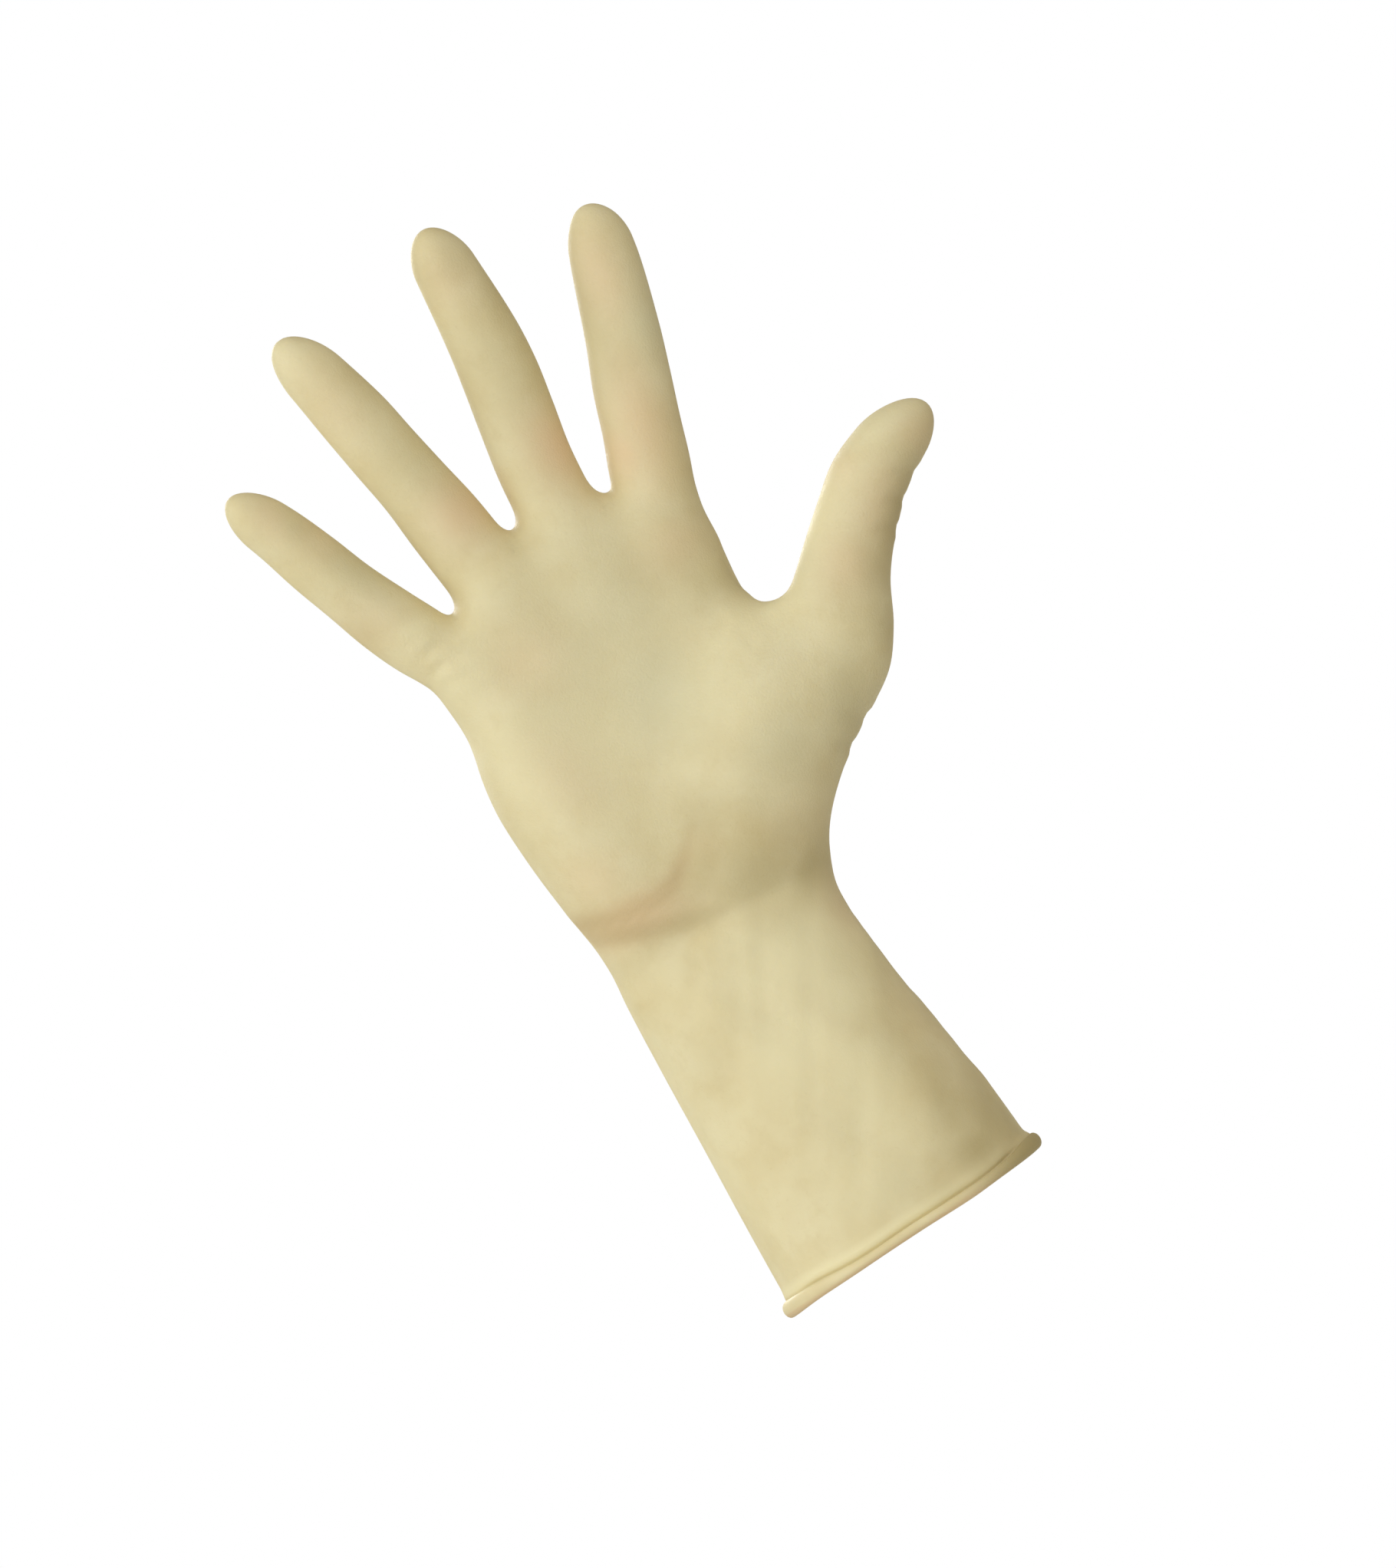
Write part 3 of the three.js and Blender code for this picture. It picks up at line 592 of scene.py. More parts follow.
left_side = np.concatenate([[top[0]], top[AROUND - SIDE :][::-1]])
right_side = top[FRONT : FRONT + SIDE + 1]
webs = [left_side, web_line(1), web_line(2), web_line(3), right_side]
for number, name in enumerate(FINGERS):
    front = top[number * COLUMNS : (number + 1) * COLUMNS]
    back = top[back_column(number + 1) + np.arange(COLUMNS)]
    ring = np.concatenate([front, webs[number + 1][:-1], back, webs[number][:0:-1]])
    grow_digit(digits[name], ring, even_angles([COLUMNS, SIDE, COLUMNS, SIDE]), fan=0.3)
    print("%s finger: a ring has %d points" % (name, len(ring)))

# %% [markdown]
# The thumb's first ring is the rim of the hole in the body: down the palm's side of it, along its
# lower edge, up the back and over the web. The thumb's rings leave the palm at a slant there, so
# the net first lies over itself in a few places. Those are opened, and the whole net is eased.

# %% The thumb
FOLD_ROUNDS = 2
FOLD_RINGS = 3 * QUALITY  # how far round a turned quad the net goes slack
FOLD_PASSES = 100 * QUALITY**2
EASE_PASSES = 9 * QUALITY
across = root_last - root_first
rim = np.concatenate(
    [
        body[CUFF_ROWS + 1 : CREST + 1, root_first][::-1],
        body[CUFF_ROWS, root_first:root_last],
        body[CUFF_ROWS:CREST, root_last],
        body[CREST, root_first + 1 : root_last + 1][::-1],
    ]
)
grow_digit(digits["thumb"], rim, even_angles([THUMB_ROWS, across, THUMB_ROWS, across]), fan=0.5)
used, quads = np.unique(np.concatenate(quads), return_inverse=True)
quads = quads.reshape(-1, 4)
points = points[used]  # without those in the hole
mean = neighbour_means(quads, len(points))
points = open_folds(points, quads, mean)
points = ease(points, mean, fixed=body[: len(EDGE_ROWS) + 1], passes=EASE_PASSES)
facing_in = np.count_nonzero(turned(points, quads))
print("net: %d points, %d quads, %d of them face inwards" % (len(points), len(quads), facing_in))

# %% [markdown]
# Now the relief. A worn latex glove is smooth where the hand fills it and folds where the hand
# bends: under the heel of the hand, at the roots of the fingers and along the outer edge of the
# thumb. A fold is a shallow groove with a low swell on either side, along a line that bows a
# little. As these are vertex moves and not only bump, the shape holds in profile.

# %% The folds, in mm: side, start, end, bow, depth and width
FOLDS = [
    ("palm", (-27, 198.5), (-16, 197), 1, 0.22, 1.2), ("palm", (-24, 194), (-13, 193), 1, 0.3, 1.3),
    ("palm", (-25, 188.5), (-15, 187.5), 1, 0.35, 1.3),
    ("palm", (-25, 183.5), (-17, 182), 1, 0.25, 1.3), ("palm", (-24, 177), (-14, 175.5), 1, 0.15, 1.3),
    ("palm", (11, 201), (11.4, 207), 0, 0.3, 0.7), ("palm", (13.4, 202), (13.2, 208), 0, 0.3, 0.7),
    ("palm", (36.8, 198), (37.4, 203), 0, 0.25, 0.7), ("palm", (46, 159), (58, 160), 0, -0.9, 4),
    ("edge", (52, 116), (60, 110), 0, 0.4, 1.5), ("edge", (59, 121), (66, 115), 0, 0.4, 1.5),
    ("edge", (92, 157), (101, 151), 0, 0.3, 1.3), ("edge", (98, 162), (107, 156), 0, 0.3, 1.3),
    ("edge", (104, 167), (112, 161), 0, 0.25, 1.3), ("back", (-22, 96), (28, 94), 2, 0.5, 2.2),
    ("back", (-18, 103), (20, 101), 2, 0.35, 2.0),
]
KNUCKLES = {"little": 33, "ring": 42, "middle": 44, "index": 41, "thumb": 36}  # mm along each axis
KNUCKLE_FOLDS = [(-3, 0.4), (0, 0.55), (3, 0.4)]  # shift along the axis and depth
KNUCKLE_REACH = 0.6  # half a fold's length, as a share of the digit's half width
KNUCKLE_WIDE = 1.1
FOLD_END = 0.2  # what is left of a fold at its ends
FOLD_FADE = 6  # it fades over one part in so many of its length
SWELL = 0.45  # the height of the swell beside a groove, as a share of its depth


def knuckle_folds():
    """Three short folds across the back of each digit's middle joint."""
    for name, along in KNUCKLES.items():
        digit = digits[name]
        middle = digit["shift"](along)
        half = KNUCKLE_REACH * digit["half"](along)
        for shift, deep in KNUCKLE_FOLDS:
            ends = [place(digit, along + shift, middle + s * half, 0.0) for s in (-1, 1)]
            yield "back", ends[0][::2], ends[1][::2], 0, deep, KNUCKLE_WIDE


def fold_depth(points, facing, side, start, end, bow, deep, wide):
    """How far a fold moves each point out: minus a bell for the groove, plus a wider, lower one.

    The distance to the fold is measured in the plane of the palm, from a line that bows by a
    parabola between its ends, and the fold fades towards them.
    """
    run = np.subtract(end, start)
    length = np.hypot(*run)
    unit = run / length
    dx = points[:, 0] - start[0]
    dz = points[:, 2] - start[1]
    t = (dx * unit[0] + dz * unit[1]) / length
    held = np.clip(t, 0, 1)
    aside = dz * unit[0] - dx * unit[1] - bow * 4 * held * (1 - held)
    away = np.hypot(aside, (t - held) * length) / wide
    fade = smooth(FOLD_FADE * held) * smooth(FOLD_FADE * (1 - held)) * (1 - FOLD_END) + FOLD_END
    profile = np.exp(-(away**2)) - SWELL * np.exp(-((away - 2) ** 2))
    return -deep * profile * fade * facing[side]


# %% [markdown]
# The wrist needs more than a straight groove. The hand bends there, so the film under its heel is
# pushed into a long crease that runs from edge to edge, with a soft roll above it, and a second,
# fainter line goes up from it round the heel. Each of them is a curve: for every place across the
# wrist it gives a height and a strength. The profile over the curve is a sum of bells, each with
# its height, its place and its width.

# %% The creases at the wrist, in mm
CREASES = {
    "wrist": {"bells": [
        (-0.8, 0.5, 3), (1.1, 8.5, 5.5), (0.35, -5, 4),
    ], "line": [
        (-34, 107.5, 0.3), (-28, 105, 0.5), (-20, 100.7, 0.65), (-14, 97.8, 0.7), (-5, 95.3, 0.8),
        (5, 93.3, 0.75), (16, 92.3, 0.8), (25, 91.2, 0.75), (31, 89.5, 0.45), (37, 87.5, 0),
    ]},
    "heel": {"bells": [
        (-0.2, 0, 2), (0.12, 3.5, 2),
    ], "line": [
        (-34, 115, 0.45), (-27, 112, 0.8), (-18.6, 109, 0.9), (-9.8, 107.6, 0.9), (-4, 108.1, 0.9),
        (0, 109.8, 0.85), (5, 113.2, 0.6), (10, 117, 0.25), (14, 120.5, 0),
    ]},
}


def bell(value, at, wide):
    """1 at a place, and falling on both sides: exp of minus the squared share of the width."""
    return np.exp(-(((value - at) / wide) ** 2))


def bells(value, rows):
    """A sum of bells, from rows of height, place and width."""
    return sum(high * bell(value, at, wide) for high, at, wide in rows)


def over_line(crease, points):
    """How far each point lies above a crease's line, and the line's strength there."""
    line = curves("across up much", crease["line"])
    x = points[:, 0]
    return points[:, 2] - line["up"](x), line["much"](x)


def crease_depth(crease, points, facing):
    """The sum of the crease's bells, by height above its line, times the line's strength."""
    above, much = over_line(crease, points)
    return bells(above, crease["bells"]) * much * facing["palm"]


# %% [markdown]
# The cuff is not held as tightly as the fingers, so it carries broad, shallow dents. A few waves
# that cross at odd angles add up to a surface that looks random and is the same on every run.

# %% The cuff's dents, in mm: waves round and up per mm, phase and height
DENTS = [
    (0.21, 0.05, 0.4, 0.14), (0.09, -0.17, 1.9, 0.16), (-0.16, 0.24, 3.1, 0.10),
    (0.33, 0.19, 4.4, 0.08), (-0.38, 0.31, 0.9, 0.07), (0.62, -0.55, 2.2, 0.03),
    (0.71, 0.68, 5.1, 0.03),
]
CUFF_RADIUS = 35


def dent_depth(points):
    """The sum of sine waves over the cuff, by place round it and height, fading at its ends."""
    z = points[:, 2]
    turn = np.arctan2(points[:, 1], points[:, 0])
    around = turn * CUFF_RADIUS
    waves = [high * np.sin(across * around + up * z + phase) for across, up, phase, high in DENTS]
    return sum(waves) * (ramp(z, 0, 12) * ramp(z, 112, 82)) * ramp(np.abs(turn), math.pi, math.pi - 0.5)


# %% The groove along the bead, in mm
EDGE_LINE = [(-0.28, 0.1, 0.4), (0.3, 1.8, 1.3)]  # the groove and the lip
EDGE_FLARE = [(1.0, -0.3, 1.5)]
FLARE_PAST = (29, 36)  # to the side, where the flare starts and is full
LITTLE_SIDE_FLARE = 0.5


def over_bead(points):
    return points[:, 2] - bead_line["top"](turn_of(points))


def edge_depth(points):
    """A fine groove along the bead's upper edge and a low lip over it, as two bells.

    At the cuff's sides both give way to a flare, which leads the film out into the bead. It is
    stronger under the thumb than on the other side.
    """
    above = over_bead(points)
    side = ramp(points[:, 0], *FLARE_PAST) + LITTLE_SIDE_FLARE * ramp(-points[:, 0], *FLARE_PAST)
    return mix(bells(above, EDGE_LINE), bells(above, EDGE_FLARE), side)


# %% Adding up the relief
normals = gradient(points)
normals /= np.linalg.norm(normals, axis=1)[:, None]
to_edge = 0.2 + 0.55 * normals[:, 0] - 0.83 * normals[:, 2]  # out and down, as the thumb's outer edge
facing = {
    "palm": ramp(normals[:, 1], 0.1, -0.3),
    "back": ramp(normals[:, 1], -0.1, 0.3),
    "edge": ramp(to_edge, 0, 0.6),
}
relief = dent_depth(points)
for fold in FOLDS + list(knuckle_folds()):
    relief += fold_depth(points, facing, *fold)
for crease in CREASES.values():
    relief += crease_depth(crease, points, facing)
relief += edge_depth(points)
relief[body[0]] = 0
outer = points + relief[:, None] * normals
print("relief from %.2f to %.2f mm" % (relief.min(), relief.max()))

# %% [markdown]
# At the wrist and over the joints the film takes a warmer, pinker tone: that is the warm and rosy
# colour. The other three tones are painted light and shade. Pale is painted light, lighter where
# the palm, the middle of the cuff and the thumb's left side face the light. Cool is a greenish
# painted shade in the hollow of the palm and along its creases. Deep is an olive painted shade on
# the sides turned from the light, under the heel and in the crease over the bead. All of them are
# tied to places on the glove and stored on the mesh as attributes that the material reads: warm,
# rosy, cool, pale and deep, each from 0 to 1. A place is a row: where it is across and up, its half
# width and half height, how much, and its lean if any.

# %% The tones, with places in mm and leans in degrees
TONES = {
    "warm": [
        (-20, 106, 13, 4, 0.7, 20), (90, 155, 12, 8, 0.2, 50), (34, 104, 12, 9, 0.3),
        (10, 112, 5, 6, 0.25),
    ],
    "rosy": [
        (36, 220, 8, 11, 1.0, 8), (6, 220, 9, 9, 0.85), (57, 213, 8, 18, 0.65, 16),
        (49, 209, 6, 8, 0.75, 10), (47, 182, 9, 7, 0.4), (69, 251, 7, 13, 0.55, 16),
        (-2, 178, 10, 10, 0.3), (94, 174, 6, 6, 0.25, 50), (-37, 246, 5, 7, 0.35),
        (36, 272, 8, 10, 0.3), (-7, 262, 8, 14, 0.25), (-28, 236, 8, 8, 0.3, -19),
        (-33, 208, 10, 8, 0.3), (81, 152, 8, 8, 0.45, 50), (98, 161, 7, 12, 0.45, 50),
        (116, 170, 7, 7, 0.4), (32, 80, 6, 10, 0.4), (33, 42, 7, 26, 0.15), (-19, 120, 9, 9, 0.3),
        (-17, 107, 15, 6, 0.85, 15), (-10, 148, 8, 14, 0.25),
    ],
    # Painted shade: a greenish darkening in the hollow of the palm, along its creases and at the thumb's
    # root.
    "cool_shade": [
        (22, 152, 16, 18, 0.8), (40, 124, 14, 9, 0.55), (71, 160, 7, 8, 0.45, 50),
        (-25, 223, 4, 10, 0.45, -19), (54, 227, 6, 8, 0.4, 16), (73, 234, 5, 12, 0.5, 16),
        (61, 124, 6, 12, 0.55, 35), (15, 172, 34, 26, 0.5), (2, 240, 9, 14, 0.2), (34, 225, 9, 14, 0.2),
        (46, 215, 10, 12, 0.3), (110, 172, 8, 8, 0.25), (40, 140, 12, 12, 0.15),
        (52, 122, 12, 8, 0.3, 35), (-1, 12, 12, 6, 0.3),
    ],
    # Painted light: lighter where the palm, the cuff's middle and the thumb's left side face the light,
    # and over the shaded crescent at the thumb's web.
    "pale": [
        (-8, 153, 13, 15, 0.95), (3, 125, 8, 8, 0.4), (40, 137, 12, 8, 0.5), (58, 154, 8, 5, 0.8),
        (70, 236, 3, 12, 0.5, 16), (-13, 186, 6, 6, 0.7), (8, 86, 14, 5, 0.7), (-1, 55, 14, 14, 0.9),
        (-34, 50, 5, 45, 0.4), (-6, 134, 9, 10, 0.6), (-7, 269, 6, 8, 0.5), (-22, 182, 6, 8, 0.6),
        (-22, 201, 6, 4, 0.85), (28, 165, 8, 8, 0.3), (-35, 229, 4, 10, 0.25, -19),
        (52, 154, 9, 8, 0.6), (37, 106, 8, 8, 0.5), (14, 75, 22, 15, 0.95), (9, 40, 9, 18, 0.85),
        (18, 62, 7, 10, 0.9), (33, 55, 4, 8, 0.4), (78, 166, 5, 18, 0.9, 50), (64, 158, 7, 6, 0.6),
        (112, 178, 12, 4, 0.8), (56, 236, 4, 20, 0.7, 16), (-5, 18, 12, 14, 0.45),
        (40, 218, 12, 10, 0.4, 10),
    ],
    # Painted shade: olive darkening on the right sides of the digits and the cuff, which turn from the
    # light, and under the heel.
    "deep": [
        (32, 11, 8, 14, 0.55), (25, 20, 6, 21, 0.42), (25, 8, 9, 6, 0.7), (14, 4, 9, 5, 0.25),
        (-22, 67, 6, 10, 0.12), (-16, 98, 11, 4, 0.25), (-26, 112, 9, 6, 0.25),
        (58, 114, 5, 10, 0.35, 35), (41, 117, 9, 9, 0.14), (-1, 168, 8, 8, 0.14), (18, 174, 9, 8, 0.12),
        (42, 243, 5, 14, 0.2, 8), (6, 226, 5, 10, 0.15, -8), (-32, 240, 4, 8, 0.25, -19),
        (81, 133, 5, 10, 0.3), (36, 1, 4, 3, 0.4), (29, 92, 9, 6, 0.6, -20), (7, 107, 10, 6, 0.38, -15),
        (63, 125, 6, 14, 0.35, 35), (32, 250, 8, 30, 0.12, 8), (40, 275, 7, 8, 0.25),
        (2, 262, 4, 10, 0.2, -8), (-38, 250, 6, 6, 0.12), (75, 148, 12, 10, 0.18, 50),
        (88, 147, 7, 9, 0.4, 50), (30, -1, 8, 4, 0.25), (13, 120, 10, 10, 0.36),
        (24, 135, 8, 11, 0.15, -20), (61, 243, 5, 18, 0.32, 16), (67, 262, 9, 10, 0.14, 16),
        (28, 279, 7, 12, 0.3), (-25, 222, 6, 14, 0.25, -19), (-34, 208, 6, 8, 0.28),
        (18, 100, 13, 11, 0.6), (24, 112, 9, 8, 0.22), (-2, 185, 10, 8, 0.15), (13, 204, 6, 6, 0.25),
        (41, 179, 12, 9, 0.24), (55, 165, 5, 6, 0.4), (45, 262, 5, 16, 0.33, 8),
        (101, 156, 6, 16, 0.75, 50),
    ],
}


def tone(places, points):
    """The largest of several soft bells: exp of minus the squared share of a leaning ellipse."""
    total = np.zeros(len(points))
    for across, up, wide, tall, much, *lean in places:
        u, w = upright(points[:, 0] - across, points[:, 2] - up, sum(lean))
        total = np.maximum(total, much * np.exp(-((u / wide) ** 2) - (w / tall) ** 2))
    return total


def tone_along(name, much, at, wide):
    """A bell along a crease, at a height above its line."""
    above, strength = over_line(CREASES[name], points)
    return much * (strength * bell(above, at, wide))


tones = {name: tone(places, points) for name, places in TONES.items()}
# groove is a painted shade in the fine groove along the bead, lip a painted highlight on the lip over it,
# and the deep tone along the wrist crease is painted shade.
groove = 0.2 * bell(over_bead(points), at=0.1, wide=0.35)
lip = bell(over_bead(points), at=1.8, wide=2.0) * ramp(points[:, 0], 33, 13)
tones["warm"] = np.maximum(tones["warm"], tone_along("heel", much=0.9, at=0.3, wide=3.0))
tones["deep"] = np.maximum(tones["deep"], tone_along("wrist", much=0.4, at=3, wide=3.5))
tones["deep"] = np.maximum(tones["deep"] * facing["palm"] ** 2, groove)
tones["pale"] = np.maximum(tones["pale"], lip)
for name in ("warm", "rosy", "cool_shade", "pale"):
    tones[name] *= facing["palm"]
tones["slack"] = ramp(points[:, 2], 105, 80)
print("tones:", {name: round(float(values.max()), 2) for name, values in tones.items()})

# %% [markdown]
# The film is closed into a real shell: the same net again, one wall further in, turned to face
# inwards, and a strip that joins both at the cuff's edge.

# %% The film's mesh
WALL = 0.4  # mm


def make_mesh(name, points, quads, attributes):
    """A smooth mesh from points in mm and quads. A quad whose last two corners agree is a triangle."""
    faces = [q[:3] if q[2] == q[3] else q for q in quads.tolist()]
    mesh = bpy.data.meshes.new(name)
    mesh.from_pydata(points * MM, [], faces)
    mesh.shade_smooth()
    for key, values in attributes.items():
        mesh.attributes.new(key, "FLOAT", "POINT").data.foreach_set("value", values.astype(np.float32))
    return add_object(name, mesh)


inner = outer - WALL * normals
inner[body[0], 2] = outer[body[0], 2]
count = len(outer)
facing_hand = quads[:, [1, 0, 3, 2]] + count  # a triangle's doubled corner stays last
edge_ids = np.stack([body[0] + count, body[0]])
film = make_mesh(
    "latex_film",
    np.concatenate([outer, inner]),
    np.concatenate([quads, facing_hand, grid_quads(edge_ids, closed=True)]),
    {name: np.tile(values, 2) for name, values in tones.items()},
)
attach(film, "root")
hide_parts("glove_film")
print("film: %d faces" % len(film.data.polygons))

# %% [markdown]
# The cuff ends in a bead: the film's own edge, rolled up on itself while it was still wet. It
# stops the cuff from tearing or rolling down. It is an oval profile carried round the cuff, and its
# height changes along the way, as the rolled edge of a worn glove is pulled up more in one place
# than in another. The film's thin edge ends inside it.

# %% The bead, in mm
BEAD_HALF = 1.5  # half its thickness
BEAD_OUT = 1.0  # its middle's distance from the film
BEAD_STATIONS = 160 * QUALITY
BEAD_SIDES = 12 * QUALITY
ROLL_LUMPS = [(5, 0.9, 0.02), (11, 2.2, 0.012)]  # how many round the cuff, phase and height


def bead_points():
    """Stations round the cuff, each with an oval in the plane of the film's normal and Z.

    The oval's size is 1 plus a few sine waves round the cuff, whose counts are whole numbers so
    that the ring closes.
    """
    degrees = np.arange(BEAD_STATIONS) * 360 / BEAD_STATIONS
    turn = np.radians(degrees)
    path = spoke(np.zeros(3), vectors(np.cos(turn), -np.sin(turn), 0 * turn))
    out = gradient(path)
    out[:, 2] = 0
    out /= np.linalg.norm(out, axis=1)[:, None]
    size = 1 + sum(high * np.sin(count * turn + phase) for count, phase, high in ROLL_LUMPS)
    middle = (bead_line["top"](degrees) + bead_line["bottom"](degrees)) / 2
    tall = (bead_line["top"](degrees) - bead_line["bottom"](degrees)) / 2
    angle = np.arange(BEAD_SIDES) * 2 * math.pi / BEAD_SIDES
    away = BEAD_OUT + BEAD_HALF * size[:, None] * np.cos(angle)
    up = middle[:, None] + (tall * size)[:, None] * np.sin(angle)
    ring = path[:, None] + away[..., None] * out[:, None]
    ring[..., 2] = up
    return ring


bead_grid = bead_points()
bead_ids = np.arange(bead_grid.shape[0] * BEAD_SIDES).reshape(-1, BEAD_SIDES)
bead_ids = np.concatenate([bead_ids, bead_ids[:1]])
bead_flat = bead_grid.reshape(-1, 3)
in_front = ramp(bead_flat[:, 1], 6, -8)
bead_low = ramp(bead_flat[:, 2], -0.6, -1.6)
# deep on the bead is painted shade, darker towards its right end under the thumb; rosy and warm tint its
# lower edge.
bead_tones = {
    "rosy": 0.6 * bead_low * in_front,
    "warm": 0.5 * bead_low * in_front * ramp(bead_flat[:, 0], 24, 4),
    "deep": 0.9 * in_front * ramp(bead_flat[:, 0], 11, 35),
}
bead = make_mesh("rolled_bead", bead_flat, grid_quads(bead_ids, closed=True)[:, ::-1], bead_tones)
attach(bead, "root")
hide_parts("cuff_bead")
print("bead: %d faces" % len(bead.data.polygons))

# %% [markdown]
# Natural latex is a pale straw colour. It is cloudy rather than clear, so a little of the light
# that enters comes out again beside where it went in: that is the shader's subsurface weight. Its
# skin is powdered or washed to a soft matt finish, so the gloss is wide and weak. The colour isn't
# even: it is mottled over a centimetre or so, tinted by the warm and rosy attributes, and darker in
# fine specks where the film is thicker. Over that lie the painted light of the pale attribute and
# the painted shade of the cool and deep ones.

# %% Helpers for materials
class Graph:
    """The nodes of a material or of the world, and the few kinds of them that are used here."""

    def __init__(self, owner):
        owner.use_nodes = True
        self.nodes = owner.node_tree.nodes
        self.link = owner.node_tree.links.new

    def attribute(self, name):
        node = self.nodes.new("ShaderNodeAttribute")
        node.attribute_name = name
        return node.outputs["Fac"]

    def noise(self, vector, scale, detail, roughness=0.5):
        """A noise texture whose scale is in lumps per metre, read at a vector."""
        node = self.nodes.new("ShaderNodeTexNoise")
        for key, number in (("Scale", scale), ("Detail", detail), ("Roughness", roughness)):
            node.inputs[key].default_value = number
        self.link(vector, node.inputs["Vector"])
        return node.outputs["Fac"]

    def spread(self, value, low, high, to_low=0.0, to_high=1.0):
        """Maps a value from low..high to to_low..to_high, and holds it there."""
        node = self.nodes.new("ShaderNodeMapRange")
        self.link(value, node.inputs["Value"])
        for key, number in zip(("From Min", "From Max", "To Min", "To Max"), (low, high, to_low, to_high)):
            node.inputs[key].default_value = number
        return node.outputs["Result"]

    def tint(self, share, under, over):
        """Mixes two colours. under is a socket or a colour, over a colour, share a socket."""
        node = self.nodes.new("ShaderNodeMix")
        node.data_type = "RGBA"
        self.link(share, node.inputs["Factor"])
        if isinstance(under, tuple):
            node.inputs["A"].default_value = (*under, 1)
        else:
            self.link(under, node.inputs["A"])
        node.inputs["B"].default_value = (*over, 1)
        return node.outputs["Result"]


def new_material(name):
    material = bpy.data.materials.new(name)
    graph = Graph(material)
    return material, graph, graph.nodes["Principled BSDF"].inputs


# %% The latex
STRAW = (0.727, 0.62, 0.35)
PALE = (0.79, 0.70, 0.43)
DEEP = (0.64, 0.52, 0.26)
# pale is the colour of painted light, cool and deep the colours of painted shade; warm and rosy are the
# film's own pinker tones.
TONE_COLOURS = {
    "pale": (0.85, 0.76, 0.465),
    "cool_shade": (0.70, 0.645, 0.41),
    "warm": (0.62, 0.465, 0.245),
    "rosy": (0.81, 0.60, 0.355),
    "deep": (0.45, 0.365, 0.165),
}
SKIN = {
    "Specular IOR Level": 0.35,
    "Subsurface Weight": 0.12,
    "Subsurface Radius": (1.0, 0.7, 0.35),
    "Subsurface Scale": 0.002,
}
# Waves and grain: lumps per metre, detail, and strength where the film is tight and where it is slack
WAVES = (160, 2, 0.35, 0.7)
GRAIN = (1500, 3, 1.0, 0.4)


def latex(name, straw, pale, deep, grain, waves, tone_names):
    """Mottled latex in three colours, bumps of two heights in metres, and the tones, some of them painted
    light and shade.
    """
    material, graph, inputs = new_material(name)
    place = graph.nodes.new("ShaderNodeTexCoord").outputs["Object"]
    cloud = graph.spread(graph.noise(place, 55, 3), 0.35, 0.68)
    colour = graph.tint(cloud, straw, pale)
    blotch = graph.spread(graph.noise(place, 130, 4, 0.6), 0.52, 0.78, 0, 0.35)
    colour = graph.tint(blotch, colour, deep)
    speck = graph.spread(graph.noise(place, 900, 2), 0.62, 0.8, 0, 0.3)
    colour = graph.tint(speck, colour, deep)
    for key in tone_names:
        colour = graph.tint(graph.attribute(key), colour, TONE_COLOURS[key])
    graph.link(colour, inputs["Base Color"])
    graph.link(graph.spread(graph.noise(place, 240, 3), 0.3, 0.7, 0.5, 0.64), inputs["Roughness"])
    for key, value in SKIN.items():
        inputs[key].default_value = value
    add_bump(graph, inputs, place, ((waves, *WAVES), (grain, *GRAIN)))
    return material


def add_bump(graph, inputs, place, layers):
    """Two bumps in a row: shallow waves of some millimetres, and on them a fine matt grain.

    The film's grain shows most where it is stretched over the hand, and its waves on the cuff. The
    attribute slack, 0 to 1, says which of the two a place is.
    """
    slack = graph.attribute("slack")
    bump = None
    for height, scale, detail, tight, loose in layers:
        node = graph.nodes.new("ShaderNodeBump")
        node.inputs["Distance"].default_value = height
        graph.link(graph.spread(slack, 0, 1, tight, loose), node.inputs["Strength"])
        graph.link(graph.noise(place, scale, detail), node.inputs["Height"])
        if bump:
            graph.link(bump, node.inputs["Normal"])
        bump = node.outputs["Normal"]
    graph.link(bump, inputs["Normal"])


matt = latex("latex_matt", STRAW, PALE, DEEP, 0.00012, 0.00025, ("pale", "cool_shade", "rosy", "warm", "deep"))
rolled = latex("latex_rolled", STRAW, PALE, STRAW, 0.00001, 0.00001, ("rosy", "warm", "deep"))
film.data.materials.append(matt)
bead.data.materials.append(rolled)
print("materials:", [m.name for m in bpy.data.materials])

# %% [markdown]
# The glove was photographed against plain white, with the light from the left and a little in
# front, so every digit is bright along its left side and falls off to olive along its right. The
# world is white where the camera looks straight at it, and dimmer as a light, which keeps the
# shaded sides from washing out. A floor far below shows only in the other views.

# %% The floor, in metres
FLOOR_SIDES = 96
FLOOR_RADIUS = 1.4
FLOOR_HEIGHT = -0.55
FLOOR_PAINT = (0.8, 0.8, 0.79, 1)


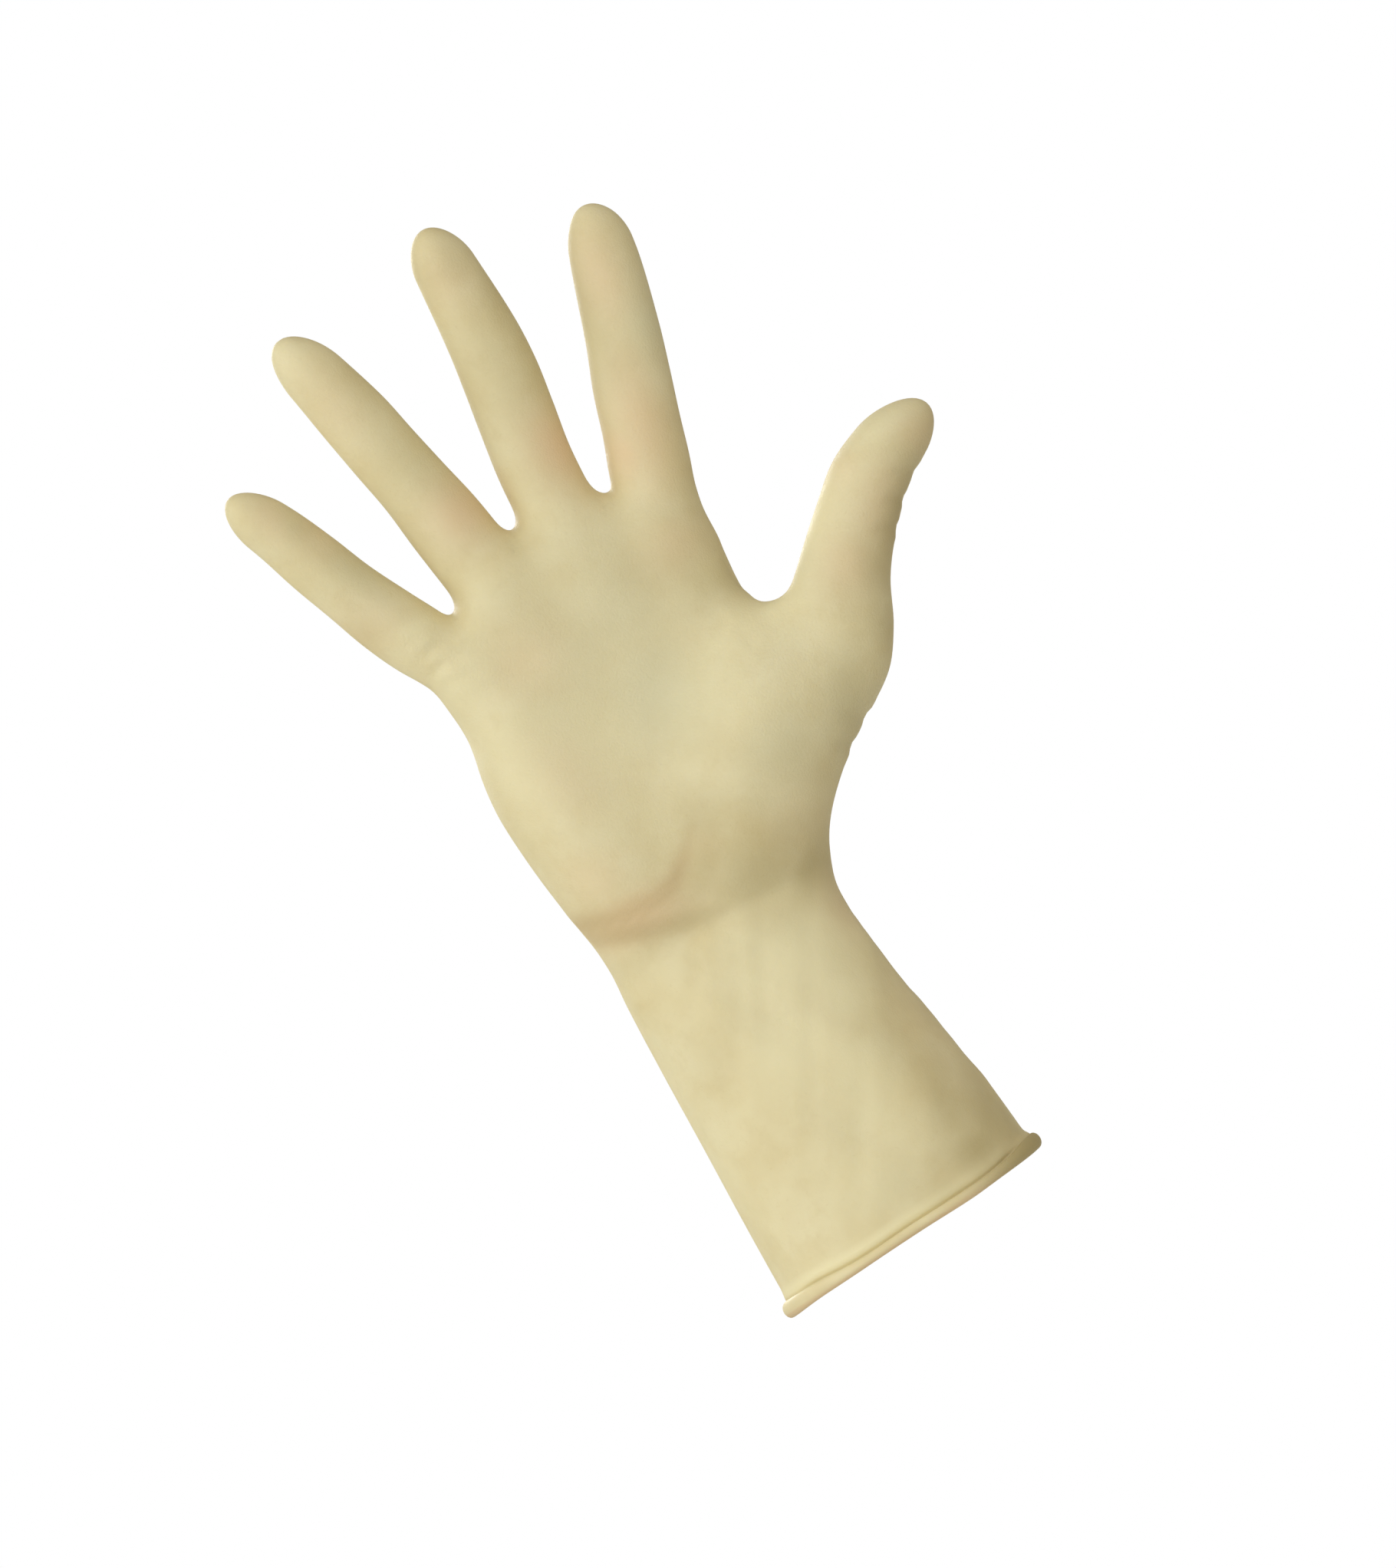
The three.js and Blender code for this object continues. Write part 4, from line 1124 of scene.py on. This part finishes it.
def make_floor():
    """A flat disc: a ring of points on a circle and one in its middle."""
    turn = np.arange(FLOOR_SIDES) * 2 * math.pi / FLOOR_SIDES
    rim = vectors(FLOOR_RADIUS * np.cos(turn), FLOOR_RADIUS * np.sin(turn), 0 * turn + FLOOR_HEIGHT)
    middle = [[0, 0, FLOOR_HEIGHT]]
    faces = [(FLOOR_SIDES, i, (i + 1) % FLOOR_SIDES) for i in range(FLOOR_SIDES)]
    mesh = bpy.data.meshes.new("floor")
    mesh.from_pydata(np.concatenate([rim, middle]), [], faces)
    material, _, inputs = new_material("floor_paint")
    inputs["Base Color"].default_value = FLOOR_PAINT
    inputs["Roughness"].default_value = 0.8
    mesh.materials.append(material)
    add_object("floor", mesh)


make_floor()

# %% The lights: place and size in metres, watts and tint
WORLD_LIGHT = 0.35
WORLD_TINT = (1.0, 0.92, 0.745)  # what comes back from a pale room is a little warm
LIGHTS = {
    "left": ((-1.225, -0.15, 0.955), 0.9, 6.0, (0.92, 1.0, 1.08)),
    "front": ((-0.615, -1.29, 0.55), 0.9, 6.8, (0.94, 1.0, 1.07)),
    "top": ((0.68, -0.9, 1.125), 0.9, 5.0, (1.0, 1.0, 1.06)),
    "low": ((-1.28, -0.75, 0.085), 0.9, 2.6, (1.1, 1.0, 0.97)),
    "behind": ((-0.6, 1.6, 0.9), 0.8, 12, (1.0, 1.0, 1.0)),
}


def make_light(name, at, size, watts, tint):
    """A square area light that faces the middle of the glove."""
    data = bpy.data.lights.new(name, "AREA")
    data.size = size
    data.energy = watts
    data.color = tint
    light = add_object(name, data)
    light.rotation_euler = (FRAME_MIDDLE - Vector(at)).to_track_quat("-Z", "Y").to_euler()
    light.location = at


def make_world():
    """White for the camera's own rays, and a dimmer, warmer light for all others."""
    world = bpy.data.worlds.new("studio")
    bpy.context.scene.world = world
    graph = Graph(world)
    seen = graph.nodes.new("ShaderNodeLightPath").outputs["Is Camera Ray"]
    room = tuple(WORLD_LIGHT / WORLD_TINT[1] * part for part in WORLD_TINT)
    graph.link(graph.tint(seen, room, (1, 1, 1)), graph.nodes["Background"].inputs["Color"])


for name, light in LIGHTS.items():
    make_light(name, *light)
make_world()
bpy.context.scene.view_settings.view_transform = "Standard"
print("lights:", sorted(LIGHTS))
